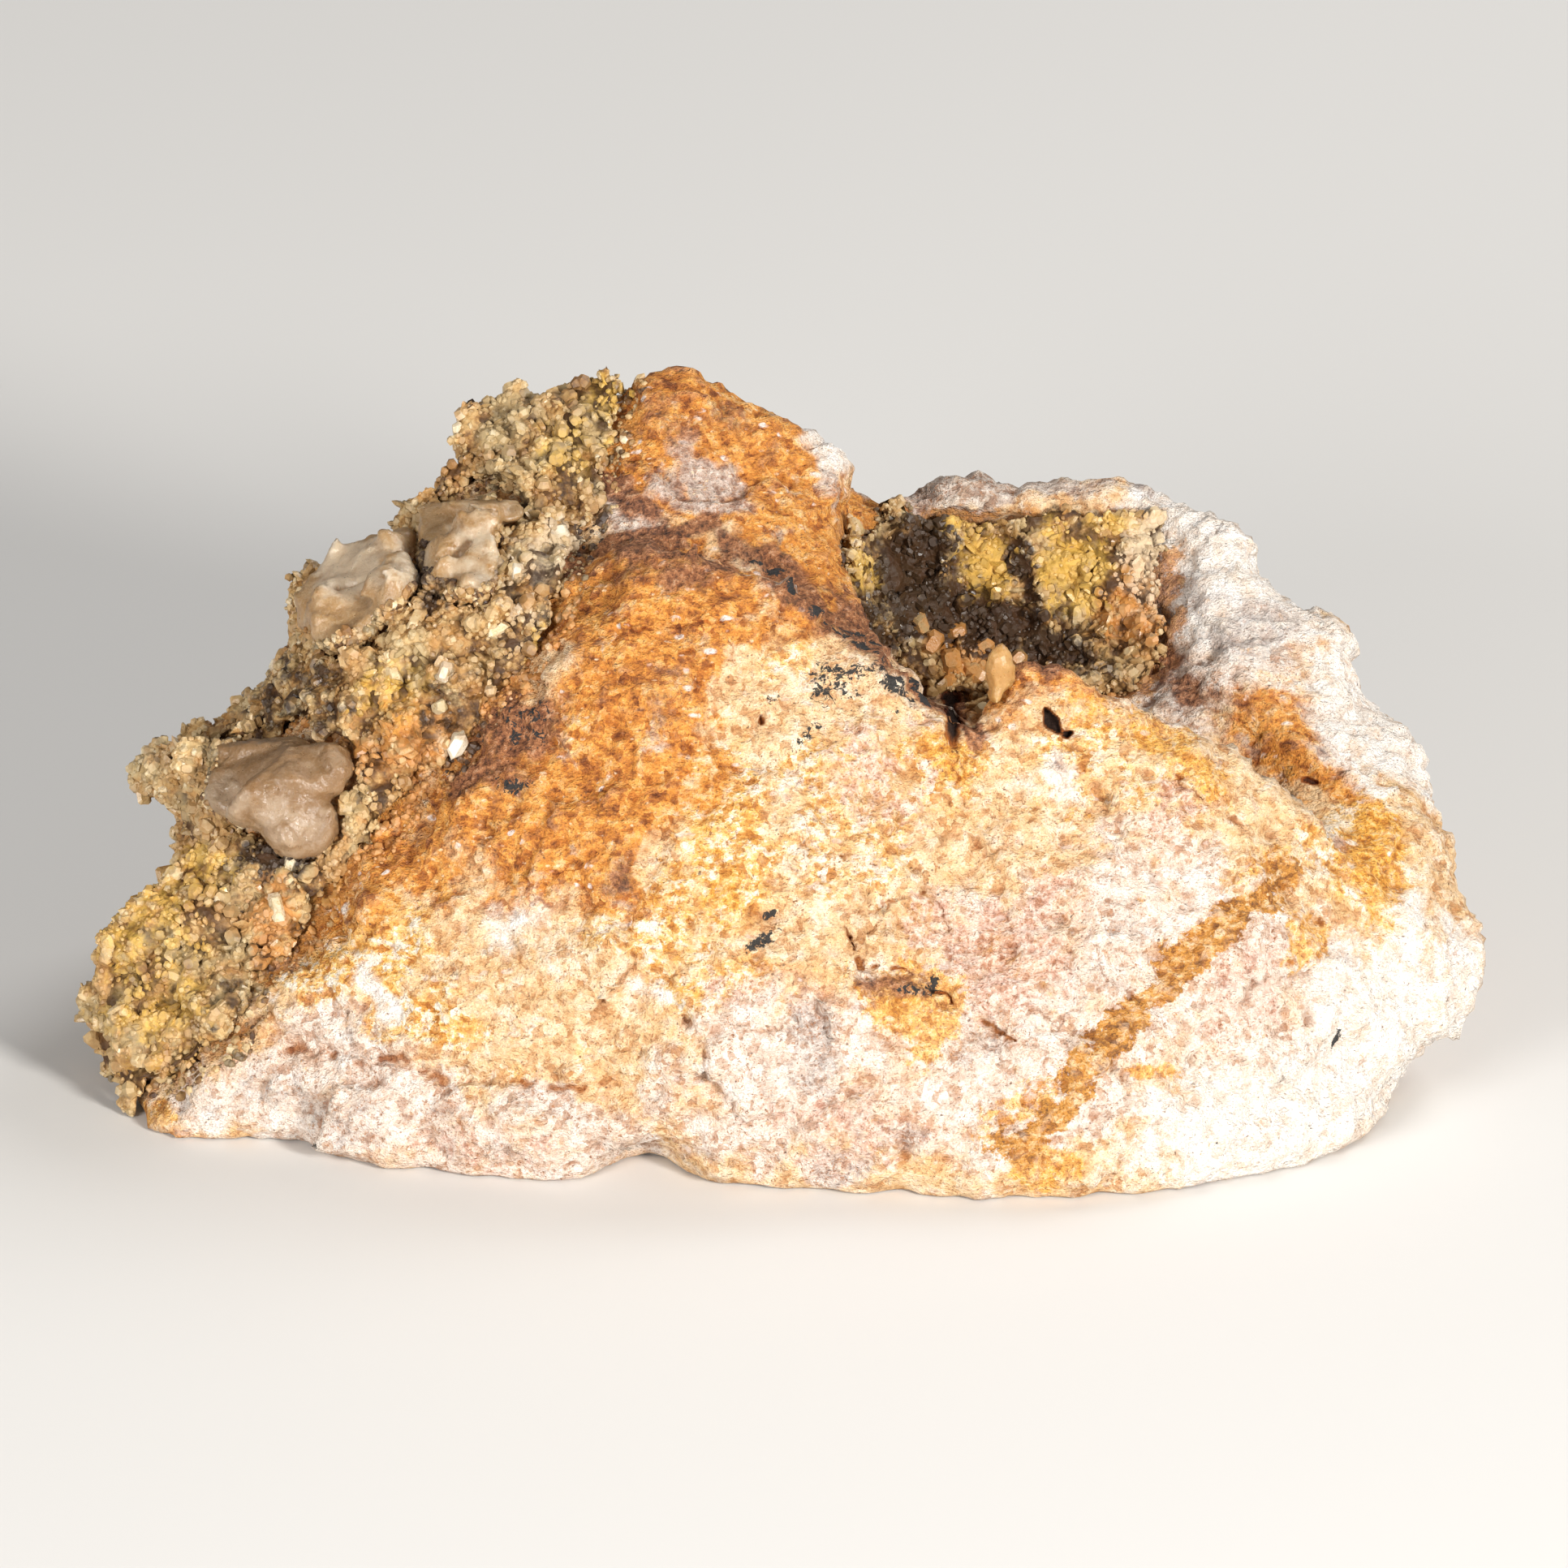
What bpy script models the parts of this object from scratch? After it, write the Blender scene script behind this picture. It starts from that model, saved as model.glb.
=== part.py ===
"""A wulfenite specimen, 80 mm long: a block of iron-stained matrix whose left flank carries a crust
of small wulfenite crystals, with a second crust in the hollow of its top and a few pale crystals.

The tables are in millimetres, in one of two frames. Face points are (across, up, back): across
and up along the leaning front face from its foot, and back straight into the block behind it.
Upright points are (x, y, z) from the same foot, with z above the surface that the block stands on.
"""

import math
import random

import bmesh
import bpy
from mathutils import Euler, Matrix, Vector, geometry, noise
from mathutils.bvhtree import BVHTree

MM = 0.001
FACE_LEAN = math.radians(25.0)  # the front face leans back this far from upright
FOOT = Vector((0.3, -24.0, 0.0))  # the foot of the front face, from the middle of the base

# The matrix is the union of these lobes, each the convex hull of its points. The first table is in
# upright points and gives the bulk and the back, the second in face points gives the front and top.
BULK_LOBES = {
    "core": [
        (-33, 17, -2), (-29, 10, -2), (-14, 3.2, -2), (9.6, 0.8, -2), (25, 2.6, -2), (32, 10, -2),
        (34, 22, -2), (31, 35, -2), (20, 43, -2), (4, 45, -2), (-16, 42, -2), (-30, 33, -2),
        (-35, 24, 4), (-24, 16.5, 17), (-15, 18, 23), (-7, 20.5, 29.5), (0, 19.5, 27),
        (6, 18, 22), (9, 17, 19), (22, 16, 16), (30, 18, 12), (36.5, 20, 6.5), (35, 28, 11.5),
        (28, 36, 17.5), (20, 41.5, 20.5), (8, 42, 21), (-8, 39.5, 31.5), (-17, 38.5, 29.5),
        (-28, 30.5, 20.5), (22, 46, 9), (33, 34, 7),
    ],
    "back_shoulder": [
        (-23, 37, 24), (-14, 40.5, 28), (-6, 41, 29), (2, 41.5, 25), (-24, 42, 12),
        (-12, 47.5, 14), (2, 48.5, 16), (8, 45, 19), (-20, 42, -2), (-4, 46, -2), (8, 44, -2),
        (-10, 30, 10),
    ],
    "back_heel": [
        (10, 47.5, 11), (19, 48, 13.5), (27, 44, 13), (29, 41, 15.5), (14, 44, 20.5),
        (12, 44, -2), (26, 40.5, -2), (30, 38, 4), (16, 30, 8),
    ],
    "back_left": [
        (-35, 27.5, 14), (-32, 34.5, 13), (-26, 40, 18), (-36.5, 27, 4), (-32, 36.5, 3),
        (-24, 42, 5), (-28, 34, 22), (-20, 40, 26), (-22, 28, 10), (-31, 24, -2), (-25, 39, -2),
        (-12, 38, 4), (-12, 36, 24), (-33, 19, 15), (-36, 19, 8), (-34, 18, -2),
    ],
}
LOBES = {
    "front_left": [
        (-6.3, 38.2, 2.5), (1.6, 34.4, 3), (6.6, 30.3, 3), (9.4, 25.9, 3), (9.6, 12, 0),
        (9.6, 5, -1), (9.6, 0, 0), (-2, 1.2, 2.6), (-14, 0.9, 2), (-21, 1.2, 2.8),
        (-29.3, 3.3, 7.2), (-30.5, 6.5, 6), (-31, 10.5, 6.5), (-28.5, 18.6, 6), (-24.7, 24.8, 5),
        (-16.9, 29.5, 3.5), (-10.5, 35.5, 2.6), (-8, 18, -1.4), (2, 14, -1.6), (-18, 11, 0.8),
        (-27, 8.8, 4.2), (-3, 7, -1.4), (-12, 37.5, 10), (-2, 35, 10), (6, 29, 9),
        (-20, 24, 20), (9, 10, 20),
    ],
    "front_right": [
        (9.8, 25.9, 3.2), (11, 28.4, 4), (12.9, 30.3, 5), (14.9, 31.2, 4.5), (17.7, 29.5, 4.5),
        (20.9, 27.7, 5), (23.2, 25.8, 5.5), (27.4, 24.3, 6.5), (30.1, 22.5, 7.5), (31.5, 19.5, 7.5),
        (27.4, 18.5, 3.5), (18.2, 8.9, -0.6), (13.1, 3.8, -1), (9.6, 12, -0.6), (9.6, -0.4, -0.5),
        (14, 0.8, 0), (25, 0.4, 1.4), (16, 27, 11), (28, 20, 16), (22, 8, 20),
    ],
    "right_end": [
        (27.4, 18.5, 3.5), (31.5, 19.5, 7.5), (37, 23.2, 15), (39.2, 19, 13), (40.5, 16, 11.5),
        (40.8, 13.7, 11), (39.4, 10.3, 10), (36.9, 10, 9), (35.8, 7.6, 9), (34.2, 3.9, 8.4),
        (31, 2, 4.8), (25, 0.4, 1.2), (13.1, 3.8, -0.6), (18.2, 8.9, -0.6), (34, 18, 22),
        (34, 8, 22), (24, 8, 22),
    ],
    "far_right": [
        (26, 38.2, 22.5), (27.8, 34.7, 22), (29.8, 33.7, 21.5), (32, 32.3, 21),
        (33.8, 29.7, 20), (36.4, 26.9, 18.5), (37.4, 24.4, 17.5), (38.8, 20.8, 15),
        (21, 33, 18.5), (24, 29.5, 15), (30, 25, 11.5), (33, 21, 11), (24, 36, 29),
        (31, 29, 28), (35.5, 20, 24), (20, 20, 26), (30, 12, 28),
    ],
    "back_rim": [
        (5.5, 41, 23), (7.6, 41.2, 24.5), (10.8, 41.8, 25.5), (15.4, 41.3, 26),
        (17.5, 41, 26), (19.4, 41.5, 25.5), (21.8, 40.8, 25), (24.1, 39.5, 24), (26.5, 38.2, 22.5),
        (7, 33, 20), (12, 31.5, 21), (18, 31.5, 19.5), (24, 31.5, 17), (8, 36, 33), (16, 37, 34),
        (25, 34, 30), (14, 25, 34), (7, 40.4, 29), (16, 40.6, 29.5), (23, 38.6, 28),
    ],
    "peak": [
        (-11.9, 45.8, 17.5), (-11.3, 47.4, 17), (-10, 48.2, 17), (-7.5, 48, 17.5),
        (-5, 47.6, 17), (-2.6, 46.6, 17), (2, 44.3, 17.5), (4.6, 41.6, 18.5),
        (-11.6, 42.4, 12), (-6, 39.4, 11.5), (0, 36.5, 11.5), (4.2, 34, 12.5), (5.6, 33, 15),
        (-10, 42, 27), (0, 39, 27), (6, 35, 26),
    ],
    "flank_backing": [
        (-38, 8, 11), (-38, 13.5, 12), (-33.4, 20, 13.5), (-28, 26.6, 14),
        (-20.8, 36.2, 16.5), (-17.6, 41, 17.8), (-14, 44.6, 18.5), (-31.5, 8, 6.5),
        (-29.2, 17.8, 6.6), (-25.2, 24, 6), (-17.6, 29, 4.6), (-11, 35.5, 4), (-11.5, 41.5, 11.5),
        (-35, 4, 9), (-35, 12, 24), (-28, 22, 27), (-19, 35, 29),
    ],
    "top_left": [
        (-18.0, 46.8, 18.5), (-19.4, 45.3, 18), (-15.2, 46.6, 19), (-11.4, 46.6, 18), (-11.2, 48.3, 18),
        (-19.8, 42.6, 17), (-18.6, 40.8, 12.5), (-13, 41.6, 10.5), (-17, 42, 26), (-9, 45, 24),
        (-9.6, 48.2, 19), (-19, 43, 24),
    ],
    "upper_flank": [
        (-21.6, 42.0, 17), (-22.6, 40.6, 16.5), (-23.2, 38.4, 15.5), (-20.4, 37.4, 8.5),
        (-15, 40, 9), (-12, 37.5, 5), (-18, 34, 26), (-22, 38, 25), (-17, 35, 5.5),
    ],
    "middle_flank": [
        (-25.6, 38.0, 15.5), (-27.6, 37.0, 15), (-28.8, 35, 14.5), (-29.6, 32.6, 14),
        (-24.5, 36.4, 8), (-25.3, 31.4, 6.4), (-18, 32.5, 3.6), (-13.5, 34, 2.5), (-22, 30, 24),
        (-27.4, 34, 24), (-20, 35.4, 5.6),
    ],
    "lower_flank": [
        (-30.0, 31.0, 13.5), (-30.6, 29.4, 13.5), (-30.8, 27.5, 13), (-26.4, 28.4, 5.4),
        (-19, 29.6, 2.9), (-23, 31.2, 5.4), (-24, 22, 22), (-29.6, 27.6, 22), (-20.5, 26, 3.6),
    ],
    "ledge": [
        (-35.2, 26.1, 13), (-36.6, 24.6, 13), (-36.2, 21.8, 12.5), (-31, 26.4, 8.6),
        (-25.4, 25.8, 4.2), (-27.5, 21.4, 4.6), (-33, 21.8, 7.8), (-30, 20, 20), (-35.4, 24, 22),
        (-23.6, 24, 4),
    ],
    "left_foot": [
        (-38.2, 19.2, 12), (-40.2, 16.6, 11.5), (-41.2, 14, 11), (-41.2, 10.3, 10.5),
        (-40.6, 7.4, 10), (-38, 4.4, 9.2), (-36.8, 3.2, 8), (-31, 18.4, 6.5), (-31.5, 10, 5.4),
        (-33, 14, 22), (-31, 6, 18), (-39.6, 10, 20), (-30.5, 3.3, 7.4), (-30, 2.8, 14),
        (-29, 7, 6.4),
    ],
}
# Hollows cut from the lobes: the crystal-lined vug, the cleft that runs forward from it to a
# notch in the front edge, the trough behind the right front edge, and an arch under the front.
VUG = [
    (3.8, 33.5, 10), (4.5, 39.4, 14), (12, 39.8, 14), (20.5, 39, 14), (22.5, 34, 12),
    (18, 30.5, 12), (9, 28, 10), (6.2, 38.4, 21.5), (12, 39.4, 22.6), (19, 38.4, 21.5),
    (20, 33, 20.5), (14, 29.5, 22), (8, 30, 20),
]
CLEFT = [
    (9.6, 25.2, 0), (6.9, 30.6, 0), (4.2, 36, 0), (13.4, 36, 0), (11.8, 30.4, 0),
    (10, 24, 17), (7.5, 30, 17), (6.5, 38, 17), (14.5, 38, 17), (13, 29, 17),
]
TROUGH = [
    (12.5, 33, 8), (17.5, 31.5, 8), (26, 26.2, 9.5), (31, 24.2, 10.5), (14, 25.5, 13),
    (20, 25, 13.5), (27, 23.5, 12.5), (16, 36, 17), (24, 34, 15.5), (30, 28, 12.5),
]
ARCH = [
    (-14, -0.6, -4), (-10.6, 3.6, -3), (-8.4, 5.3, -3), (-5.4, 4.8, -3), (-3.8, 3.2, -3), (-0.6, 0.6, -4),
    (-12.4, -3, 11), (-8, 0.6, 13), (-3, -3, 11),
]
PIT = [
    (15.0, 27.2, -2), (15.6, 26.8, -2), (15.5, 28.2, -2), (15.0, 28.0, -2), (15.2, 27.3, 6.4),
    (15.5, 27.9, 6.4), (15.4, 27.2, 6),
]
HOLLOWS = {"vug": VUG, "cleft": CLEFT, "trough": TROUGH, "arch": ARCH, "pit": PIT}

VOXEL = 0.8
SMOOTH_ROUNDS, SMOOTH_FACTOR = 1, 0.5
SHELL_LIMIT = 1.6  # the most that a sharp corner moves, as a share of its faces' move
CLOSE_REACH = 0.9  # clefts between lobes narrower than twice this are filled
LUMP_SIZE, LUMP_HEIGHT = 7.0, 0.75
CHIP_SIZE, CHIP_HEIGHT, CHIP_LEVEL = 2.6, 0.38, 0.3
MATRIX_TRIANGLES = 4500

# Furrows and steps of the front: half width, depth, and the (across, up) points of its course.
GROOVES = [
    (1.3, 0.6, [(12.6, 4.4), (16.4, 8.8), (20.5, 12.6), (24.5, 15.8), (28.4, 18.6)]),
    (0.7, 0.8, [(-28.9, 8.9), (-24, 8.2), (-18.7, 7.1), (-11, 6.2), (-4, 7)]),
    (0.6, 0.7, [(4.3, 13.5), (6.4, 13.2), (8.5, 12.9), (9.8, 11), (13, 9.2), (15.6, 9.9)]),
    (0.6, 0.5, [(-2.2, 26.7), (1.6, 23), (4.6, 19.4), (5.2, 16.2), (4.3, 13.5)]),
    (0.6, 0.5, [(18.6, 24.6), (16.5, 21), (19, 18.2), (23, 19.4), (26, 21.6)]),
]
GROOVE_BACK = 9.0  # the furrows stay on what is nearer the front than this

GAP = 0.32  # between two pieces that touch
CRUST = 1.3
TIP_ROOM = 0.8  # how far the tablets stand out of the crust
CRUST_SEAT = GAP + CRUST + TIP_ROOM  # how far the matrix is set back under a crust
SEAT_STEPS = 2
CRUST_SINK = 0.7  # how far a crust's surface runs below the matrix past the edge of its zone
SEAT_FADE = 1.5
EDGE_SIZE, EDGE_HEIGHT = 4.0, 1.2  # of the wander in a zone's edge
CRUST_TRIANGLES = {"flank_druse": 3100, "vug_druse": 1250}

# The crusts cover what lies within these hulls.
FLANK_ZONE = [
    (-46, 4, 6), (-36.6, 3.6, 6), (-33, 7.4, 4), (-30.8, 11.6, 3), (-30.6, 17, 2), (-27, 22, 1),
    (-22, 25.2, 1), (-17, 26.2, 0), (-13, 31, 0), (-9.8, 36.5, 0), (-8.8, 39.5, 5), (-12.5, 43, 12),
    (-8.5, 49, 14), (-8.5, 50, 24), (-22, 50, 24), (-46, 30, 24), (-46, 6, 22),
    (-20, 30, 28), (-46, 40, 0), (-22, 50, 0),
]
VUG_ZONE = [
    (2.6, 40, 14), (5.5, 32, 14), (10, 28, 14), (19, 29, 16), (23.5, 33, 16), (22.5, 39.2, 20),
    (14, 40, 26.6), (6, 40, 26), (22, 39.4, 25), (8, 28, 26), (20, 28, 26), (2.4, 33, 20),
]

# Square tablets of the crusts: how many, their least spacing, and the range of their widths.
FLANK_CRYSTALS, FLANK_SPACING, FLANK_WIDTHS = 78, 2.3, (1.7, 3.0)
VUG_CRYSTALS, VUG_SPACING, VUG_WIDTHS = 30, 2.0, (1.6, 2.6)
TABLET_TOP = 0.7  # a tablet's flat top, as a share of its width
TABLET_THICKNESS = (0.38, 0.7)
TABLET_TILT = 75.0
TABLET_SINK = 0.12  # of its width
TABLET_ZONE = 0.8  # tablets grow where the zone's share is above this
SCATTER_TRIES = 12
FLANK_SEED, VUG_SEED = 3, 8

# Lobes of the pale crystal clusters: (across, up) of the middle, height above the matrix under it,
# then the half widths across, up and out, and the turn about the way it faces, in degrees.
PALE_LOBES = {
    "pale_cluster_left": [
        (-23.2, 34.9, 2.2, 2.4, 2.1, 2.6, 10), (-24.9, 34.0, 1.9, 1.7, 2.0, 2.4, -15),
        (-22.2, 34.0, 2.1, 2.1, 2.5, 2.7, 10), (-23.7, 32.4, 1.8, 2.0, 1.5, 2.3, 0),
        (-21.3, 36.1, 1.8, 1.3, 1.2, 2.2, 30),
    ],
    "pale_cluster_upper": [
        (-17.6, 39.0, 2.0, 2.0, 1.3, 2.3, 25), (-18.7, 37.4, 2.1, 1.3, 1.9, 2.5, 10),
        (-17.2, 36.8, 2.3, 1.2, 2.4, 2.7, -8), (-18.9, 35.0, 1.9, 1.0, 1.7, 2.3, 12),
        (-17.5, 34.3, 2.0, 0.9, 1.4, 2.3, -20), (-16.1, 38.4, 2.0, 1.2, 1.4, 2.2, -30),
    ],
    "pale_ledge": [
        (-31.8, 24.2, 1.8, 2.9, 1.8, 2.6, 12), (-28.6, 24.8, 2.0, 3.2, 1.8, 2.8, 4),
        (-26.2, 24.2, 1.8, 2.3, 2.0, 2.4, -20), (-29.2, 22.9, 2.0, 3.2, 2.1, 2.9, -8),
        (-27.0, 21.8, 1.8, 2.0, 1.8, 2.4, 15),
    ],
}
PALE_VOXEL = 0.4
PALE_GAP = 0.45  # the crust's clearance from them, with room for their facets
PALE_TRIANGLES = 230
# The upright prism: the face point of its foot, then its sizes and its lean and turn in degrees.
CLEFT_FOOT = (12.4, 28.6)
CLEFT_WIDTH, CLEFT_HEIGHT, CLEFT_ROOT = 1.5, 3.4, 1.0
CLEFT_TIP, CLEFT_TIP_SHARE = 0.8, 0.35
CLEFT_LEAN, CLEFT_TURN = 8.0, 30.0
FRONT = -20.0  # a depth in front of the whole block
GROUND = 0.2  # the edge of the block that cuts the base flat, in metres

# Colour, roughness, transmission and index of refraction of each kind of piece.
MATERIALS = {
    "matrix": ((0.66, 0.44, 0.26), 0.85, 0.0, 1.5),
    "flank_druse": ((0.38, 0.25, 0.09), 0.35, 0.15, 2.3),
    "vug_druse": ((0.42, 0.27, 0.08), 0.35, 0.15, 2.3),
    "pale_cluster_left": ((0.66, 0.55, 0.42), 0.25, 0.5, 1.66),
    "pale_cluster_upper": ((0.7, 0.6, 0.48), 0.22, 0.5, 1.66),
    "pale_ledge": ((0.5, 0.38, 0.32), 0.25, 0.5, 1.66),
    "cleft_crystal": ((0.75, 0.5, 0.22), 0.15, 0.5, 2.3),
}


def from_face(across, up, back):
    """A face point in metres, in the frame of the whole part."""
    y = up * math.sin(FACE_LEAN) + back * math.cos(FACE_LEAN)
    z = up * math.cos(FACE_LEAN) - back * math.sin(FACE_LEAN)
    return from_upright(across, y, z)


def from_upright(x, y, z):
    return (FOOT + Vector((x, y, z))) * MM


def clear_scene():
    for obj in list(bpy.data.objects):
        bpy.data.objects.remove(obj)


def new_object(name, bm, collection):
    mesh = bpy.data.meshes.new(name)
    bm.to_mesh(mesh)
    bm.free()
    obj = bpy.data.objects.new(name, mesh)
    collection.objects.link(obj)
    return obj


def add_hull(bm, points):
    """Adds the convex hull of the points, as a closed body of its own, to bm."""
    corners = [bm.verts.new(point) for point in points]
    made = bmesh.ops.convex_hull(bm, input=corners)
    loose = [v for v in made["geom_interior"] + made["geom_unused"] if isinstance(v, bmesh.types.BMVert)]
    bmesh.ops.delete(bm, geom=list(set(loose)), context="VERTS")


def hull_object(name, points, collection):
    bm = bmesh.new()
    add_hull(bm, points)
    bmesh.ops.recalc_face_normals(bm, faces=bm.faces)
    return new_object(name, bm, collection)


def apply_modifiers(obj):
    """Replaces the object's mesh by what its modifiers make of it."""
    bpy.context.view_layer.update()
    evaluated = obj.evaluated_get(bpy.context.evaluated_depsgraph_get())
    obj.data = bpy.data.meshes.new_from_object(evaluated)
    obj.modifiers.clear()


def remesh(obj, voxel_mm):
    modifier = obj.modifiers.new("remesh", "REMESH")
    modifier.mode = "VOXEL"
    modifier.voxel_size = voxel_mm * MM
    apply_modifiers(obj)


def boolean(obj, other, operation, overlapping=False):
    modifier = obj.modifiers.new(operation.lower(), "BOOLEAN")
    modifier.operation = operation
    modifier.object = other
    modifier.use_self = overlapping
    apply_modifiers(obj)


def smooth(obj, rounds):
    modifier = obj.modifiers.new("smooth", "SMOOTH")
    modifier.factor = SMOOTH_FACTOR
    modifier.iterations = rounds
    apply_modifiers(obj)


def decimate(obj, triangles):
    obj.data.calc_loop_triangles()
    modifier = obj.modifiers.new("decimate", "DECIMATE")
    modifier.ratio = min(1.0, triangles / len(obj.data.loop_triangles))
    apply_modifiers(obj)


def grow(obj, distance):
    """Moves the surface of obj outward by distance(point) millimetres, measured across its faces."""
    bm = bmesh.new()
    bm.from_mesh(obj.data)
    bm.normal_update()
    moves = []
    for vertex in bm.verts:
        shell = min(SHELL_LIMIT, vertex.calc_shell_factor())
        moves.append(vertex.normal * shell * distance(vertex.co) * MM)
    for vertex, move in zip(bm.verts, moves):
        vertex.co += move
    bm.to_mesh(obj.data)
    bm.free()


def grown_copy(obj, distance_mm, name, collection):
    copy = bpy.data.objects.new(name, obj.data.copy())
    collection.objects.link(copy)
    grow(copy, lambda point: distance_mm)
    return copy


def keep_largest(obj):
    """Drops every loose body of the mesh but the one with the most corners."""
    bm = bmesh.new()
    bm.from_mesh(obj.data)
    unseen = set(bm.verts)
    bodies = []
    while unseen:
        body = {unseen.pop()}
        front = list(body)
        while front:
            vertex = front.pop()
            near = {edge.other_vert(vertex) for edge in vertex.link_edges}
            new = near - body
            body |= new
            front.extend(new)
        unseen -= body
        bodies.append(body)
    bodies.sort(key=len)
    for body in bodies[:-1]:
        bmesh.ops.delete(bm, geom=list(body), context="VERTS")
    bm.to_mesh(obj.data)
    bm.free()


def hull_planes(points):
    """The (point, outward normal) of each side of the points' convex hull."""
    bm = bmesh.new()
    add_hull(bm, points)
    bmesh.ops.recalc_face_normals(bm, faces=bm.faces)
    planes = [(face.calc_center_median(), face.normal.copy()) for face in bm.faces]
    bm.free()
    return planes


def smoothstep(low, high, value):
    share = min(1.0, max(0.0, (value - low) / (high - low)))
    return share * share * (3 - 2 * share)


def zone_share(planes, point):
    """1 within the zone and 0 outside it, with a soft and wandering edge."""
    depth = -max((point - at).dot(normal) for at, normal in planes) / MM
    wander = noise.noise(point / MM / EDGE_SIZE) * EDGE_HEIGHT
    return smoothstep(-SEAT_FADE, SEAT_FADE, depth + wander)


def to_face(point):
    """(across, up, back) in millimetres of a point of the whole part."""
    x, y, z = point / MM - FOOT
    up = y * math.sin(FACE_LEAN) + z * math.cos(FACE_LEAN)
    back = y * math.cos(FACE_LEAN) - z * math.sin(FACE_LEAN)
    return x, up, back


def groove_depth(point):
    """How deep the furrows of the front are at a point."""
    across, up, back = to_face(point)
    if back > GROOVE_BACK:
        return 0
    at = Vector((across, up))
    deepest = 0
    for half_width, depth, course in GROOVES:
        away = math.inf
        for start, end in zip(course, course[1:]):
            near, share = geometry.intersect_point_line(at, start, end)
            near = Vector(start).lerp(Vector(end), min(1, max(0, share)))
            away = min(away, (at - near).length)
        deepest = max(deepest, depth * (1 - smoothstep(0, half_width, away)))
    return deepest


def roughen(mesh, seated):
    """Gives the matrix its lumps, and its chips and furrows where no crust covers it."""
    normals = [vertex.normal.copy() for vertex in mesh.vertices]
    for vertex, normal in zip(mesh.vertices, normals):
        point = vertex.co / MM
        lump = noise.noise(point / LUMP_SIZE) * LUMP_HEIGHT
        chip = (CHIP_LEVEL - noise.voronoi(point / CHIP_SIZE)[0][0]) * CHIP_HEIGHT
        rough = chip - groove_depth(vertex.co)
        vertex.co += normal * MM * (lump + rough * (1 - seated(vertex.co)))


def build_matrix(parts, cutters, zones):
    bm = bmesh.new()
    for points in BULK_LOBES.values():
        add_hull(bm, [from_upright(*point) for point in points])
    for points in LOBES.values():
        add_hull(bm, [from_face(*point) for point in points])
    bmesh.ops.recalc_face_normals(bm, faces=bm.faces)
    matrix = new_object("matrix", bm, parts)
    remesh(matrix, VOXEL)
    grow(matrix, lambda point: CLOSE_REACH)
    remesh(matrix, VOXEL)
    grow(matrix, lambda point: -CLOSE_REACH)
    remesh(matrix, VOXEL)
    for name, points in HOLLOWS.items():
        boolean(matrix, hull_object(name, [from_face(*p) for p in points], cutters), "DIFFERENCE")
    remesh(matrix, VOXEL)
    smooth(matrix, SMOOTH_ROUNDS)

    def seated(point):
        return max(zone_share(zone, point) for zone in zones)

    for _ in range(SEAT_STEPS):
        grow(matrix, lambda point: -CRUST_SEAT / SEAT_STEPS * seated(point))
        remesh(matrix, VOXEL)
    roughen(matrix.data, seated)
    decimate(matrix, MATRIX_TRIANGLES)
    keep_largest(matrix)
    return matrix


def tablet_points(place, turn, width, thickness):
    """Corners of a square tablet with bevelled sides, flat side facing along the turned z axis."""
    points = []
    for level, share in ((-0.5, TABLET_TOP), (0, 1), (0.5, TABLET_TOP)):
        half = width / 2 * share
        for x, y in ((-half, -half), (half, -half), (half, half), (-half, half)):
            points.append(place + turn @ Vector((x, y, level * thickness)) * MM)
    return points


def scatter(mesh, wanted, spacing, keep, rng):
    """Spaced random (place, normal) pairs on those faces of the mesh whose centre keep() allows."""
    mesh.calc_loop_triangles()
    faces = [tri for tri in mesh.loop_triangles if keep(tri.center)]
    picked = []
    for tri in rng.choices(faces, weights=[tri.area for tri in faces], k=wanted * SCATTER_TRIES):
        u, v = sorted((rng.random(), rng.random()))
        a, b, c = (mesh.vertices[i].co for i in tri.vertices)
        place = a * u + b * (v - u) + c * (1 - v)
        if all((place - other).length > spacing * MM for other, _ in picked):
            picked.append((place, tri.normal.copy()))
        if len(picked) == wanted:
            break
    return picked


def build_crust(name, matrix, seats, zone, crystals, parts, cutters, seed):
    """A crust over the zone: a skin on the matrix with square tablets grown together on it.

    It keeps clear of the seats, which are the pieces that it touches, grown by the gap.
    """
    wanted, spacing, (narrow, wide) = crystals
    rng = random.Random(seed)
    crust = bpy.data.objects.new(name, matrix.data.copy())
    parts.objects.link(crust)
    grow(crust, lambda point: (GAP + CRUST + CRUST_SINK) * zone_share(zone, point) - CRUST_SINK)

    def within(point):
        return zone_share(zone, point) > TABLET_ZONE

    bm = bmesh.new()
    for place, normal in scatter(crust.data, wanted, spacing, within, rng):
        width = rng.uniform(narrow, wide)
        thickness = width * rng.uniform(*TABLET_THICKNESS)
        tilt = Euler((math.radians(rng.uniform(-TABLET_TILT, TABLET_TILT)), 0, rng.uniform(0, math.tau)))
        turn = normal.to_track_quat("Z", "Y") @ tilt.to_quaternion()
        add_hull(bm, tablet_points(place - normal * TABLET_SINK * width * MM, turn, width, thickness))
    bmesh.ops.recalc_face_normals(bm, faces=bm.faces)
    tablets = new_object(name + "_tablets", bm, cutters)
    boolean(crust, tablets, "UNION", overlapping=True)
    for seat in seats:
        boolean(crust, seat, "DIFFERENCE", overlapping=True)
    keep_largest(crust)
    decimate(crust, CRUST_TRIANGLES[name])


def surface_point(tree, across, up):
    """Where the line straight back through a face point meets the matrix, and its normal there."""
    back = (Vector(from_face(0, 0, 1)) - Vector(from_face(0, 0, 0))).normalized()
    start = Vector(from_face(across, up, FRONT))
    place, normal, _, _ = tree.ray_cast(start, back)
    return place, normal


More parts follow.
